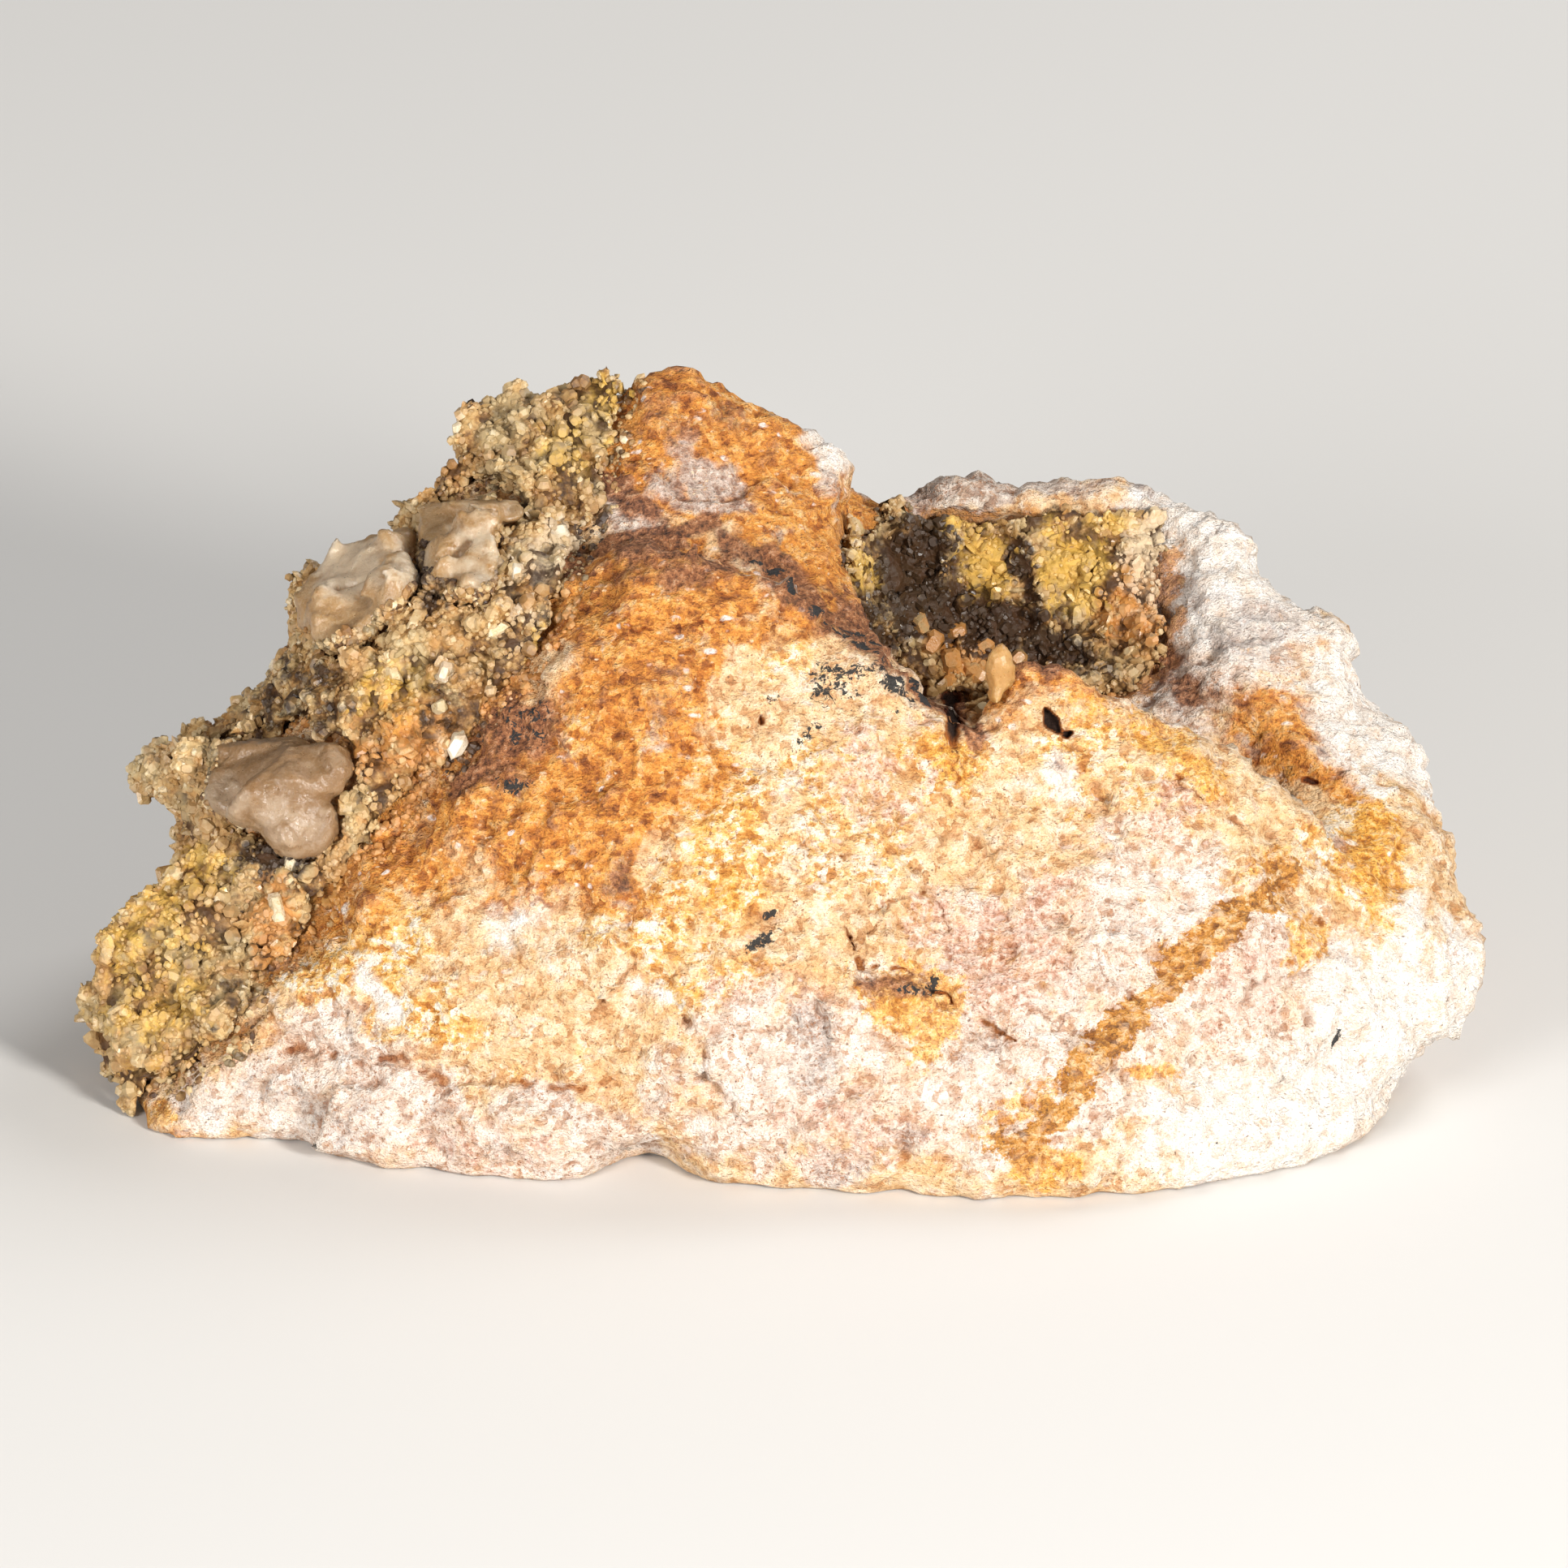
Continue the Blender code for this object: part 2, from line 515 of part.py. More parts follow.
def lobed_body(name, lobes, extra, tree, collection):
    """Flattened lobes on the matrix grown together, each extra millimetres larger all round."""
    out = Matrix.Rotation(math.pi / 2 - FACE_LEAN, 3, "X")
    bm = bmesh.new()
    for across, up, height, half_across, half_up, half_out, turn in lobes:
        place, normal = surface_point(tree, across, up)
        halves = Vector((half_across + extra, half_up + extra, half_out + extra))
        turned = out @ Matrix.Rotation(math.radians(turn), 3, "Z") @ Matrix.Diagonal(halves * MM)
        at = Matrix.Translation(place + normal * height * MM)
        bmesh.ops.create_icosphere(bm, subdivisions=3, radius=1, matrix=at @ turned.to_4x4())
    body = new_object(name, bm, collection)
    remesh(body, PALE_VOXEL)
    decimate(body, PALE_TRIANGLES)
    return body


def build_cleft_crystal(tree, seat, parts):
    """The upright square prism with a pointed end that stands on the lip of the cleft."""
    place, _ = surface_point(tree, *CLEFT_FOOT)
    turn = Euler((math.radians(-CLEFT_LEAN), 0, math.radians(CLEFT_TURN))).to_matrix()
    half = CLEFT_WIDTH / 2
    points = []
    rings = ((-CLEFT_ROOT, 1), (CLEFT_HEIGHT - CLEFT_TIP, 1), (CLEFT_HEIGHT, CLEFT_TIP_SHARE))
    for level, share in rings:
        for x, y in ((-half, -half), (half, -half), (half, half), (-half, half)):
            points.append(place + turn @ Vector((x * share, y * share, level)) * MM)
    crystal = hull_object("cleft_crystal", points, parts)
    boolean(crystal, seat, "DIFFERENCE", overlapping=True)
    keep_largest(crystal)


def give_material(obj, colour, roughness, transmission, ior):
    material = bpy.data.materials.new(obj.name)
    material.use_nodes = True
    shader = material.node_tree.nodes["Principled BSDF"]
    shader.inputs["Base Color"].default_value = (*colour, 1)
    shader.inputs["Roughness"].default_value = roughness
    shader.inputs["Metallic"].default_value = 0
    shader.inputs["Transmission Weight"].default_value = transmission
    shader.inputs["IOR"].default_value = ior
    obj.data.materials.clear()
    obj.data.materials.append(material)


def main():
    clear_scene()
    scene = bpy.context.scene
    parts = bpy.data.collections.new("wulfenite_specimen")
    cutters = bpy.data.collections.new("cutters")
    scene.collection.children.link(parts)
    scene.collection.children.link(cutters)
    cutters.hide_render = True

    flank, vug = (hull_planes([from_face(*p) for p in zone]) for zone in (FLANK_ZONE, VUG_ZONE))
    matrix = build_matrix(parts, cutters, [flank, vug])
    seat = grown_copy(matrix, GAP, "seat", cutters)
    bm = bmesh.new()
    bm.from_mesh(matrix.data)
    tree = BVHTree.FromBMesh(bm)
    bm.free()

    seats = [seat]
    for name, lobes in PALE_LOBES.items():
        pale = lobed_body(name, lobes, 0, tree, parts)
        boolean(pale, seat, "DIFFERENCE", overlapping=True)
        keep_largest(pale)
        seats.append(lobed_body(name + "_seat", lobes, PALE_GAP, tree, cutters))
    flank_crystals = (FLANK_CRYSTALS, FLANK_SPACING, FLANK_WIDTHS)
    build_crust("flank_druse", matrix, seats, flank, flank_crystals, parts, cutters, FLANK_SEED)
    vug_crystals = (VUG_CRYSTALS, VUG_SPACING, VUG_WIDTHS)
    build_crust("vug_druse", matrix, [seat], vug, vug_crystals, parts, cutters, VUG_SEED)
    build_cleft_crystal(tree, seat, parts)

    bm = bmesh.new()
    bmesh.ops.create_cube(bm, size=GROUND, matrix=Matrix.Translation((0, 0, -GROUND / 2)))
    ground = new_object("ground", bm, cutters)
    for obj in parts.objects:
        boolean(obj, ground, "DIFFERENCE")
        give_material(obj, *MATERIALS[obj.name])
    for obj in cutters.objects:
        obj.display_type = "WIRE"


main()
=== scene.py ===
"""Looks of the wulfenite specimen: an iron-stained rock with a drusy yellow crust on its left flank,
a second crust inside the hollow on top, three milky clusters and one small amber crystal.

Lengths are in millimetres here, and turned to metres where a mesh is written. Places on the front
are given in the front face's own directions, as in the part's source: across, up the leaning face,
and back into the rock.
"""
import math

import bmesh
import bpy
import numpy as np
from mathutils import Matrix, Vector, noise
from mathutils.bvhtree import BVHTree


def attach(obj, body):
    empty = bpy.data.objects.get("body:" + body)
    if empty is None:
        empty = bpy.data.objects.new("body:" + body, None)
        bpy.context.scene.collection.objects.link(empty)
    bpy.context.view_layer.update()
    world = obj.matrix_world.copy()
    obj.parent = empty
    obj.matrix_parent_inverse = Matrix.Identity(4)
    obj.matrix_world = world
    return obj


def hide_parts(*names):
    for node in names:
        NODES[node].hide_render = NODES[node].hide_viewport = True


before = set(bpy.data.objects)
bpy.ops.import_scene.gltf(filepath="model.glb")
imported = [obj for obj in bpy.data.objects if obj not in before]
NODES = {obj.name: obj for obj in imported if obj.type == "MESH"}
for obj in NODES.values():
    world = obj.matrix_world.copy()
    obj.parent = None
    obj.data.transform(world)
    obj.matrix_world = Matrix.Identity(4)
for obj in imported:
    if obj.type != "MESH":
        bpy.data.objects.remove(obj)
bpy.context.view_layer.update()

MM = 0.001
LEAN = math.radians(25.0)  # the front face leans back by this much
FOOT = np.array((0.3, -24.0, 0.0))  # where the front face's own directions start, on the ground
FACE_AXES = np.array(((1.0, 0.0, 0.0),
                      (0.0, math.sin(LEAN), math.cos(LEAN)),
                      (0.0, math.cos(LEAN), -math.sin(LEAN))))

COARSE = 1.0  # a trial run uses larger voxels
ROCK_VOXEL = 0.40 * COARSE
CRUST_VOXEL = 0.34 * COARSE
CLUSTER_VOXEL = 0.2 * COARSE
SMOOTHING = 0.6  # share of the way to its neighbours' middle, per round
LUMP_STEP = (17.3, 5.1, 11.7)  # how far the noise of one seed lies from the next one's
CELL_STEP = (9.7, 3.3, 6.1)
CHIP_SPREAD, CHIP_TILT = 3.7, 2.0  # how unlike two chips' tilts are, and how steep
WELD = 1e-6  # metres: corners nearer than this are one
NOISE_SEED = 7  # without it, noise_vector starts from the clock
SPOT_REACH = 1.4  # a spot fades out at this many times its half width


# ---- places and fields

def to_face(points):
    """Across, up and back in mm, for points in metres."""
    return (np.asarray(points) / MM - FOOT) @ FACE_AXES.T


def from_face(places):
    """Points in metres, for places given as across, up and back in mm."""
    return (np.asarray(places, float) @ FACE_AXES + FOOT) * MM


def smoothstep(values, low, high):
    share = np.clip((values - low) / (high - low), 0.0, 1.0)
    return share * share * (3.0 - 2.0 * share)


def lumps(points, size, seed, octaves=2):
    """Smooth noise of about -1 to 1 whose lumps are size mm across."""
    shift = Vector([seed * step for step in LUMP_STEP])
    scale = 1.0 / (size * MM)
    return np.array([noise.fractal(Vector(p) * scale + shift, 1.0, 2.0, octaves) for p in points])


def cells(points, size, seed):
    """For each point, the distance to the nearest and the second seed of cells size mm across,
    in cell sizes, and the nearest seed's place."""
    shift = Vector([seed * step for step in CELL_STEP])
    scale = 1.0 / (size * MM)
    near, second, seats, places = [], [], [], []
    for p in points:
        q = Vector(p) * scale + shift
        distances, seeds = noise.voronoi(q)
        near.append(distances[0])
        second.append(distances[1])
        seats.append(seeds[0])
        places.append(q)
    return np.array(near), np.array(second), np.array(seats), np.array(places)


def chips(points, size, seed):
    """Height of flat chips size mm across, each tilted its own way, as a broken stone has them."""
    _, _, seats, places = cells(points, size, seed)
    tilts = np.array([noise.noise_vector(Vector(s) * CHIP_SPREAD) for s in seats])
    return ((places - seats) * tilts).sum(1) * CHIP_TILT


def patches(face, spots, warp, fade=1.0):
    """The strongest of some soft-edged oval spots: across, up, half width and half height in mm,
    turn in degrees, strength."""
    field = np.zeros(len(face))
    a, v = face[:, 0] + warp[:, 0], face[:, 1] + warp[:, 1]
    for across, up, half_width, half_height, turn, strength in spots:
        c, s = math.cos(math.radians(turn)), math.sin(math.radians(turn))
        x = ((a - across) * c + (v - up) * s) / half_width
        y = (-(a - across) * s + (v - up) * c) / half_height
        field = np.maximum(field, strength * smoothstep(SPOT_REACH - np.hypot(x, y), 0.0, fade))
    return field


def line_distance(face, points, warp):
    """Distance in mm, seen from the front, to a line through points on the face."""
    place = face[:, :2] + warp
    nearest = np.full(len(face), 1e9)
    for start, end in zip(points[:-1], points[1:]):
        start, end = np.array(start), np.array(end)
        along = end - start
        share = np.clip(((place - start) @ along) / (along @ along), 0.0, 1.0)
        nearest = np.minimum(nearest, np.linalg.norm(place - start - share[:, None] * along, axis=1))
    return nearest


# ---- meshes

def new_piece(name, mesh):
    piece = bpy.data.objects.new(name, mesh)
    bpy.context.scene.collection.objects.link(piece)
    return piece


def with_modifiers(piece, *settings):
    """The piece with each modifier applied in turn: (type, {property: value})."""
    for kind, values in settings:
        modifier = piece.modifiers.new(kind.lower(), kind)
        for name, value in values.items():
            setattr(modifier, name, value)
    graph = bpy.context.evaluated_depsgraph_get()
    mesh = bpy.data.meshes.new_from_object(piece.evaluated_get(graph))
    piece.modifiers.clear()
    old = piece.data
    piece.data = mesh
    bpy.data.meshes.remove(old)
    return piece


def remeshed(voxel):
    return "REMESH", {"mode": "VOXEL", "voxel_size": voxel * MM}


def smoothed(rounds, factor=SMOOTHING):
    return "SMOOTH", {"factor": factor, "iterations": rounds}


def fine_copy(node, name, voxel, rounds):
    """A copy of a CAD node remeshed finely, its facets smoothed away."""
    mesh = NODES[node].data.copy()
    build = bmesh.new()
    build.from_mesh(mesh)
    bmesh.ops.remove_doubles(build, verts=build.verts, dist=WELD)
    build.to_mesh(mesh)
    build.free()
    return with_modifiers(new_piece(name, mesh), remeshed(voxel), smoothed(rounds))


def coords(piece):
    values = np.empty(len(piece.data.vertices) * 3)
    piece.data.vertices.foreach_get("co", values)
    return values.reshape(-1, 3)


def normals(piece):
    values = np.empty(len(piece.data.vertices) * 3)
    piece.data.vertex_normals.foreach_get("vector", values)
    return values.reshape(-1, 3)


def move(piece, offsets):
    """Moves each vertex by its offset in mm."""
    piece.data.vertices.foreach_set("co", (coords(piece) + offsets * MM).ravel())
    piece.data.update()


def store(piece, name, values):
    attribute = piece.data.attributes.new(name, "FLOAT", "POINT")
    attribute.data.foreach_set("value", np.asarray(values, np.float32))


def read(piece, name):
    values = np.empty(len(piece.data.vertices))
    piece.data.attributes[name].data.foreach_get("value", values)
    return values


def shade(piece, smooth):
    piece.data.polygons.foreach_set("use_smooth", [smooth] * len(piece.data.polygons))


def proudness(piece, rounds):
    """How far each point stands out of the smoothed surface around it, in mm; less than 0 in a dip."""
    flat = with_modifiers(new_piece("smoothed", piece.data.copy()), smoothed(rounds, 0.7))
    height = ((coords(piece) - coords(flat)) * normals(piece)).sum(1) / MM
    mesh = flat.data
    bpy.data.objects.remove(flat)
    bpy.data.meshes.remove(mesh)
    return height


def joined(name, pieces):
    """One mesh of several pieces, which are used up."""
    build = bmesh.new()
    for piece in pieces:
        build.from_mesh(piece.data)
        bpy.data.objects.remove(piece)
    mesh = bpy.data.meshes.new(name)
    build.to_mesh(mesh)
    build.free()
    return new_piece(name, mesh)


def tree_of(piece):
    """A search tree over the piece's faces."""
    return BVHTree.FromPolygons([v.co for v in piece.data.vertices],
                                [p.vertices for p in piece.data.polygons])


def distances(points, trees):
    """From each point to the nearest of some surfaces, in mm."""
    return np.array([min(tree.find_nearest(Vector(p))[3] for tree in trees) for p in points]) / MM


def refine(piece, chosen, cuts):
    """Divides the edges between chosen vertices, so that narrow cracks and pits can be cut there."""
    build = bmesh.new()
    build.from_mesh(piece.data)
    build.verts.ensure_lookup_table()
    flags = set(np.flatnonzero(chosen).tolist())
    edges = [e for e in build.edges if e.verts[0].index in flags and e.verts[1].index in flags]
    bmesh.ops.subdivide_edges(build, edges=edges, cuts=cuts, use_grid_fill=True)
    bmesh.ops.triangulate(build, faces=[f for f in build.faces if len(f.verts) > 4])
    build.to_mesh(piece.data)
    build.free()


# ---- shader nodes

EDGE_WOBBLE = 2.4  # how far a pattern shifts a stored mask's edge


class Output:
    """What a node gives. +, - and * make the math nodes that combine it with another or a number."""

    def __init__(self, look, socket):
        self.look, self.socket = look, socket

    def __add__(self, other):
        return self.look.math("ADD", self, other)

    def __sub__(self, other):
        return self.look.math("SUBTRACT", self, other)

    def __rsub__(self, other):
        return self.look.math("SUBTRACT", other, self)

    def __mul__(self, other):
        return self.look.math("MULTIPLY", self, other)


class Finish:
    """A Principled material, and short calls for the nodes that its finish is made of."""

    def __init__(self, name):
        self.material = bpy.data.materials.new(name)
        self.material.use_nodes = True
        self.tree = self.material.node_tree
        self.shader = self.tree.nodes["Principled BSDF"]
        self.place = self.scaled(self.give("TexCoord", {}, "Object"), 1.0 / MM)
        self.colour = None

    def feed(self, socket, value):
        if isinstance(value, Output):
            self.tree.links.new(value.socket, socket)
        elif socket.type == "RGBA" and len(value) == 3:
            socket.default_value = (*value, 1.0)
        else:
            socket.default_value = value

    def give(self, kind, inputs, output=0, **settings):
        """One output of a new node, once its settings are made and its inputs fed."""
        node = self.tree.nodes.new("ShaderNode" + kind)
        for name, value in settings.items():
            setattr(node, name, value)
        for name, value in inputs.items():
            self.feed(node.inputs[name], value)
        return Output(self, node.outputs[output])

    def math(self, operation, first, second, clamp=False):
        return self.give("Math", {0: first, 1: second}, operation=operation, use_clamp=clamp)

    def scaled(self, place, factor):
        return self.give("VectorMath", {0: place, "Scale": factor}, operation="SCALE")

    def stretched(self, turn, scale):
        """Places turned and squeezed, for grain that runs one way."""
        turn = [math.radians(degrees) for degrees in turn]
        return self.give("Mapping", {"Vector": self.place, "Rotation": turn, "Scale": scale})

    def bent(self, size, amount):
        """Places shifted by noise, so that cells and lines in them wander."""
        noise = self.noise(size, 2.0, output="Color")
        shift = self.give("VectorMath", {0: noise, 1: (0.5, 0.5, 0.5)}, operation="SUBTRACT")
        return self.give("VectorMath", {0: self.place, 1: self.scaled(shift, amount)}, operation="ADD")

    def noise(self, size, detail=3.0, roughness=0.55, distortion=0.0, place=None, output="Fac"):
        inputs = {"Vector": place or self.place, "Scale": 1.0 / size, "Detail": detail,
                  "Roughness": roughness, "Distortion": distortion}
        return self.give("TexNoise", inputs, output)

    def cells(self, size, feature="F1", place=None, output="Distance"):
        inputs = {"Vector": place or self.place, "Scale": 1.0 / size}
        return self.give("TexVoronoi", inputs, output, feature=feature)

    def attribute(self, name):
        return self.give("Attribute", {}, "Fac", attribute_name=name)

    def step(self, value, low, high):
        """0 at low, 1 at high, smooth between."""
        inputs = {"Value": value, "From Min": low, "From Max": high}
        return self.give("MapRange", inputs, "Result", interpolation_type="SMOOTHSTEP")

    def below(self, value, low, high):
        """1 at low, 0 at high, smooth between."""
        return 1.0 - self.step(value, low, high)

    def edge(self, mask, rough, width):
        """A stored mask whose soft edge is broken up by a rough pattern."""
        return self.step(mask + (rough - 0.5) * EDGE_WOBBLE, 0.5 - width, 0.5 + width)

    def ramp(self, value, stops):
        """A colour ramp: stops as (place, colour)."""
        node = self.tree.nodes.new("ShaderNodeValToRGB")
        self.feed(node.inputs["Fac"], value)
        elements = node.color_ramp.elements
        while len(elements) < len(stops):
            elements.new(0.5)
        for element, (place, colour) in zip(elements, stops):
            element.position = place
            element.color = (*colour, 1.0)
        return Output(self, node.outputs["Color"])

    def lay(self, share, tone, blend="MIX"):
        """Lays a tone over the colour so far."""
        node = self.tree.nodes.new("ShaderNodeMix")
        node.data_type = "RGBA"
        node.blend_type = blend
        sockets = {s.name: s for s in node.inputs if s.type == "RGBA"}
        self.feed(node.inputs["Factor"], share)
        self.feed(sockets["A"], self.colour)
        self.feed(sockets["B"], tone)
        self.colour = Output(self, next(s for s in node.outputs if s.type == "RGBA"))

    def bump(self, height, strength, distance, below=None):
        inputs = {"Height": height, "Strength": strength, "Distance": distance * MM}
        if below:
            inputs["Normal"] = below
        return self.give("Bump", inputs, "Normal")

    def absorb(self, colour, density):
        """Fills the material with a clear colour."""
        volume = self.give("VolumeAbsorption", {"Color": colour, "Density": density}, "Volume")
        self.feed(self.tree.nodes["Material Output"].inputs["Volume"], volume)

    def finish(self, roughness, normal, **values):
        values = {"Base_Color": self.colour, "Roughness": roughness, "Normal": normal, **values}
        for name, value in values.items():
            self.feed(self.shader.inputs[name.replace("_", " ")], value)
        return self.material


# ---- the rock

# Oval spots on the front: across, up, half width, half height in mm, turn in degrees, strength.
STAINS = {
    "chalk": [(-26, 9.5, 5, 3.5, 0, 0.8), (-27, 5.5, 9, 3.4, -5, 1), (-15, 3.4, 9, 3, 0, 0.9),
        (1, 7, 9, 5.5, 0, 0.95), (12, 7, 9, 7, 0, 0.95), (20, 14, 7, 8, -40, 1), (26.5, 14, 4, 5, 40, 1),
        (10, 15, 6, 4, 0, 0.6), (-3, 10.5, 5, 2.5, 0, 0.7), (20, 21, 4, 3, 0, 0.55),
        (30, 8, 12, 9, 0, 0.9), (24, 32, 8, 6, 0, 0.9)],
    "white": [(35.5, 9.5, 6.5, 8, 0, 1), (25, 36.5, 6, 6, -20, 1.3), (28, 4.5, 10, 5, 10, 0.85),
        (34.5, 28, 4, 7, 35, 0.95), (28, 36, 5, 4.5, -30, 1), (2.6, 43.4, 1.4, 3, 35, 0.75),
        (-31, 4.5, 4, 2.2, -5, 0.5), (-15, 14.4, 3, 3.2, 0, 0.55), (-23.6, 12, 1.4, 1.8, 20, 0.8),
        (-8, 12.4, 2.4, 1.2, -10, 0.5), (22, 17, 4, 3, -40, 0.45), (15.6, 23.4, 2.5, 2, 0, 0.45),
        (12, 2, 4, 2, 0, 0.4)],
    "pink": [(12.6, 14, 4.4, 4, 0, 0.75), (8.4, 16.2, 2.2, 1.8, 0, 0.6), (3.5, 4.2, 6, 2.4, -8, 0.6),
        (-3, 12, 3, 1.6, 0, 0.45), (26.5, 12, 4, 2.4, 40, 0.45), (14.5, 17.2, 3, 1.6, 0, 0.55),
        (5.5, 24, 4, 4, 0, 0.5), (22, 22, 3, 2, -35, 0.45), (-17, 3, 5, 1.5, 0, 0.45)],
    "grey": [(12, 40.8, 9, 1.2, 0, 1), (-9.4, 39.6, 3.4, 1.3, -35, 0.8), (-28, 5.5, 8, 2.2, -5, 0.45),
        (0.5, 8.8, 3.2, 3.6, 20, 0.6), (-5.3, 40.6, 4.2, 2.2, -20, 0.8), (4, 3.6, 5, 2.4, -10, 0.5),
        (21.5, 29.8, 4, 1.6, -20, 0.5), (10.8, 9, 3, 2.2, 0, 0.45), (26, 32.6, 4, 3, -30, 0.5),
        (-14, 4, 4, 1.6, 0, 0.4), (19.6, 16.8, 2.4, 3, -30, 0.35)],
    "amber": [(-3.6, 21.4, 4, 6, 0, 0.85), (-25.5, 14.6, 6, 4, 0, 1), (-22, 10.6, 5, 1.6, -15, 0.8),
        (-8, 16.5, 6, 3, 0, 0.6), (-5, 13.4, 5, 2.4, -12, 0.6), (0.5, 31, 4, 3, -40, 0.5),
        (2.5, 24, 4, 3.4, -20, 0.45), (8.5, 24.5, 4, 3, 0, 0.55), (17, 25.5, 6, 3, -20, 0.5),
        (24, 22, 4, 3, -40, 0.35), (33, 20.5, 3.4, 6, 10, 0.8), (4.4, 20, 6, 5, 0, 0.4),
        (-13, 8, 7, 2, 0, 0.4)],
    "rust": [(-13, 23.5, 11, 6.5, 14, 0.95), (-21, 20.5, 7, 4.2, 5, 0.8), (-8, 30, 5, 6.5, -25, 1.15),
        (-6.5, 34.8, 6.5, 2.4, -14, 1.2), (-25, 17, 4.5, 3.4, 0, 0.7), (-11.5, 17.5, 6, 2.2, 0, 0.55),
        (1.5, 12.2, 4, 2, -20, 0.35), (-5, 43, 9, 6, -20, 1.1), (3.4, 37, 4.4, 6, -40, 1),
        (12.5, 30, 3.5, 3, 0, 0.8), (16, 29.8, 4, 1.6, -20, 0.7), (33.4, 19.5, 2.2, 4, 10, 0.5),
        (29, 26.4, 6, 2.4, -35, 0.9), (-12, 34.5, 4.5, 3.5, 0, 1.1), (-33, 2.4, 4, 1.6, 0, 0.4),
        (9, 33, 3.5, 4, -50, 0.95), (20, 32.4, 3.4, 2, 0, 0.8), (23.6, 33.6, 1.8, 3.6, 0, 0.7)],
    "ochre": [(33.6, 19.2, 2.2, 4.2, 10, 1.1), (-36, 4.6, 1.6, 1.2, 0, 0.8), (9.8, 25, 2, 1.6, 0, 0.8),
        (22, 25.4, 3.4, 1.2, -40, 1.2), (29.3, 14.4, 0.9, 2.2, 10, 0.85), (21.4, 7.5, 1.8, 0.8, 5, 0.8),
        (15.2, 2, 2, 1.3, 10, 1), (7.4, 11.4, 2.6, 3.2, 15, 1), (13.2, 5.2, 3.6, 1.4, 40, 0.65),
        (27, 19, 2.4, 1, 45, 0.6), (-5, 18, 3, 4.4, -20, 0.4), (18, 27.6, 3.4, 1.2, -25, 0.5),
        (4.6, 12.6, 3, 1.4, -10, 0.45), (16.5, 22, 3, 1.2, 0, 0.35)],
    # dark: partly the rock's own dark stain, partly painted shade along the back of the crests and inside
    # the hollow
    "dark": [(-5, 44, 7, 3, -20, 0.32), (-6.5, 30.5, 3.4, 3, 0, 0.3), (-6.5, 37.6, 4.2, 1, -4, 1),
        (-6.4, 35.6, 5, 1.2, -14, 0.62), (-1.5, 36, 4.6, 1.3, -24, 0.95), (3.6, 33, 4.4, 1.4, -42, 1),
        (7.4, 29.8, 3.2, 1.1, -50, 1), (-9.6, 40.4, 3.8, 1, -35, 0.95), (9.7, 27.8, 0.9, 1.9, 8, 1.2),
        (13.5, 35.6, 7, 3.2, -5, 1), (7.2, 35, 3.5, 2.4, -40, 0.8), (-12, 36.4, 3, 1.4, 0, 0.8),
        (-15.2, 26.6, 3.4, 2.2, 20, 0.85), (-17, 23.8, 2.8, 1.3, 0, 0.8), (21.5, 30.6, 5, 1, -28, 0.7),
        (25, 28.4, 3.5, 0.9, -30, 0.55), (15.4, 30.6, 2.6, 0.7, -10, 0.7),
        (-8.5, 19.2, 2.6, 2.2, 30, 0.35), (-24, 33, 3, 4, 0, 0.6), (6.5, 12.8, 2, 1.2, 0, 0.6),
        (-18, 4.4, 3, 0.9, 0, 0.35), (3, 5, 4, 1, -20, 0.3)],
    # black: partly dark dendrites, partly thin painted shadow lines along the crest edges
    "black": [(2.6, 29, 1.5, 1.5, 20, 0.5), (4.2, 29.6, 0.9, 0.5, 30, 0.56),
        (5.8, 28.9, 0.35, 1.3, 30, 0.75), (-1.2, 16.9, 0.7, 0.5, 0, 0.72), (-1.2, 15, 0.9, 0.9, 0, 0.75),
        (3.6, 32.2, 3.4, 0.28, -42, 0.9), (7.2, 28.9, 1.4, 0.3, -50, 0.9),
        (-14.8, 27, 2.2, 1.6, 10, 0.42), (7.6, 12.6, 1.2, 0.9, 0, 0.55), (-15.5, 23.4, 1.1, 0.6, 0, 0.6),
        (31.6, 8.9, 0.7, 0.3, 30, 0.8), (-0.2, 35.2, 2.2, 0.3, -25, 0.75), (1.6, 26.6, 1, 0.6, 0, 0.55),
        (-1.4, 28.7, 0.6, 0.5, 0, 0.5)],
}
VEIN = [(28.3, 18.6), (24.5, 15.2), (20.8, 11.6), (17.9, 8.4), (15.6, 5.2), (13.0, 3.2)]
VEIN_HALF = 0.95  # mm
CRACKS = [  # half width, depth, points
    (0.09, 0.40, [(3.6, 15.6), (4.3, 13.6), (6.4, 13.2), (8.5, 12.7), (9.8, 11.0), (13.0, 9.2)]),
    (0.06, 0.22, [(6.4, 17.4), (5.0, 15.4), (4.2, 12.6), (3.9, 11.0)]),
    (0.06, 0.25, [(9.7, 26.0), (9.9, 24.2), (9.2, 22.6)]),
    (0.08, 0.25, [(22.0, 24.4), (24.6, 22.6), (26.4, 21.0), (27.6, 19.8)]),
    (0.22, 0.30, [(-28.6, 8.8), (-26.0, 8.4), (-22.4, 8.0), (-19.0, 7.0), (-15.6, 6.8), (-11.4, 6.3)]),
    (0.06, 0.22, [(-14.2, 17.6), (-11.6, 15.6), (-8.4, 14.8), (-5.6, 12.8)]),
    (0.06, 0.22, [(17.6, 14.6), (18.4, 12.4), (17.2, 11.0)]),
    (0.06, 0.22, [(-2.4, 9.6), (0.8, 10.6), (3.4, 9.2)]),
    (0.07, 0.25, [(-9.8, 33.0), (-6.6, 32.2), (-3.6, 33.2)]),
    (0.07, 0.25, [(5.0, 16.4), (6.4, 17.6), (8.6, 17.4), (9.8, 15.6), (9.2, 13.8)]),
    (0.06, 0.2, [(13.2, 11.6), (15.6, 10.2), (17.0, 11.4), (16.2, 13.2), (13.8, 13.0), (13.2, 11.6)]),
]
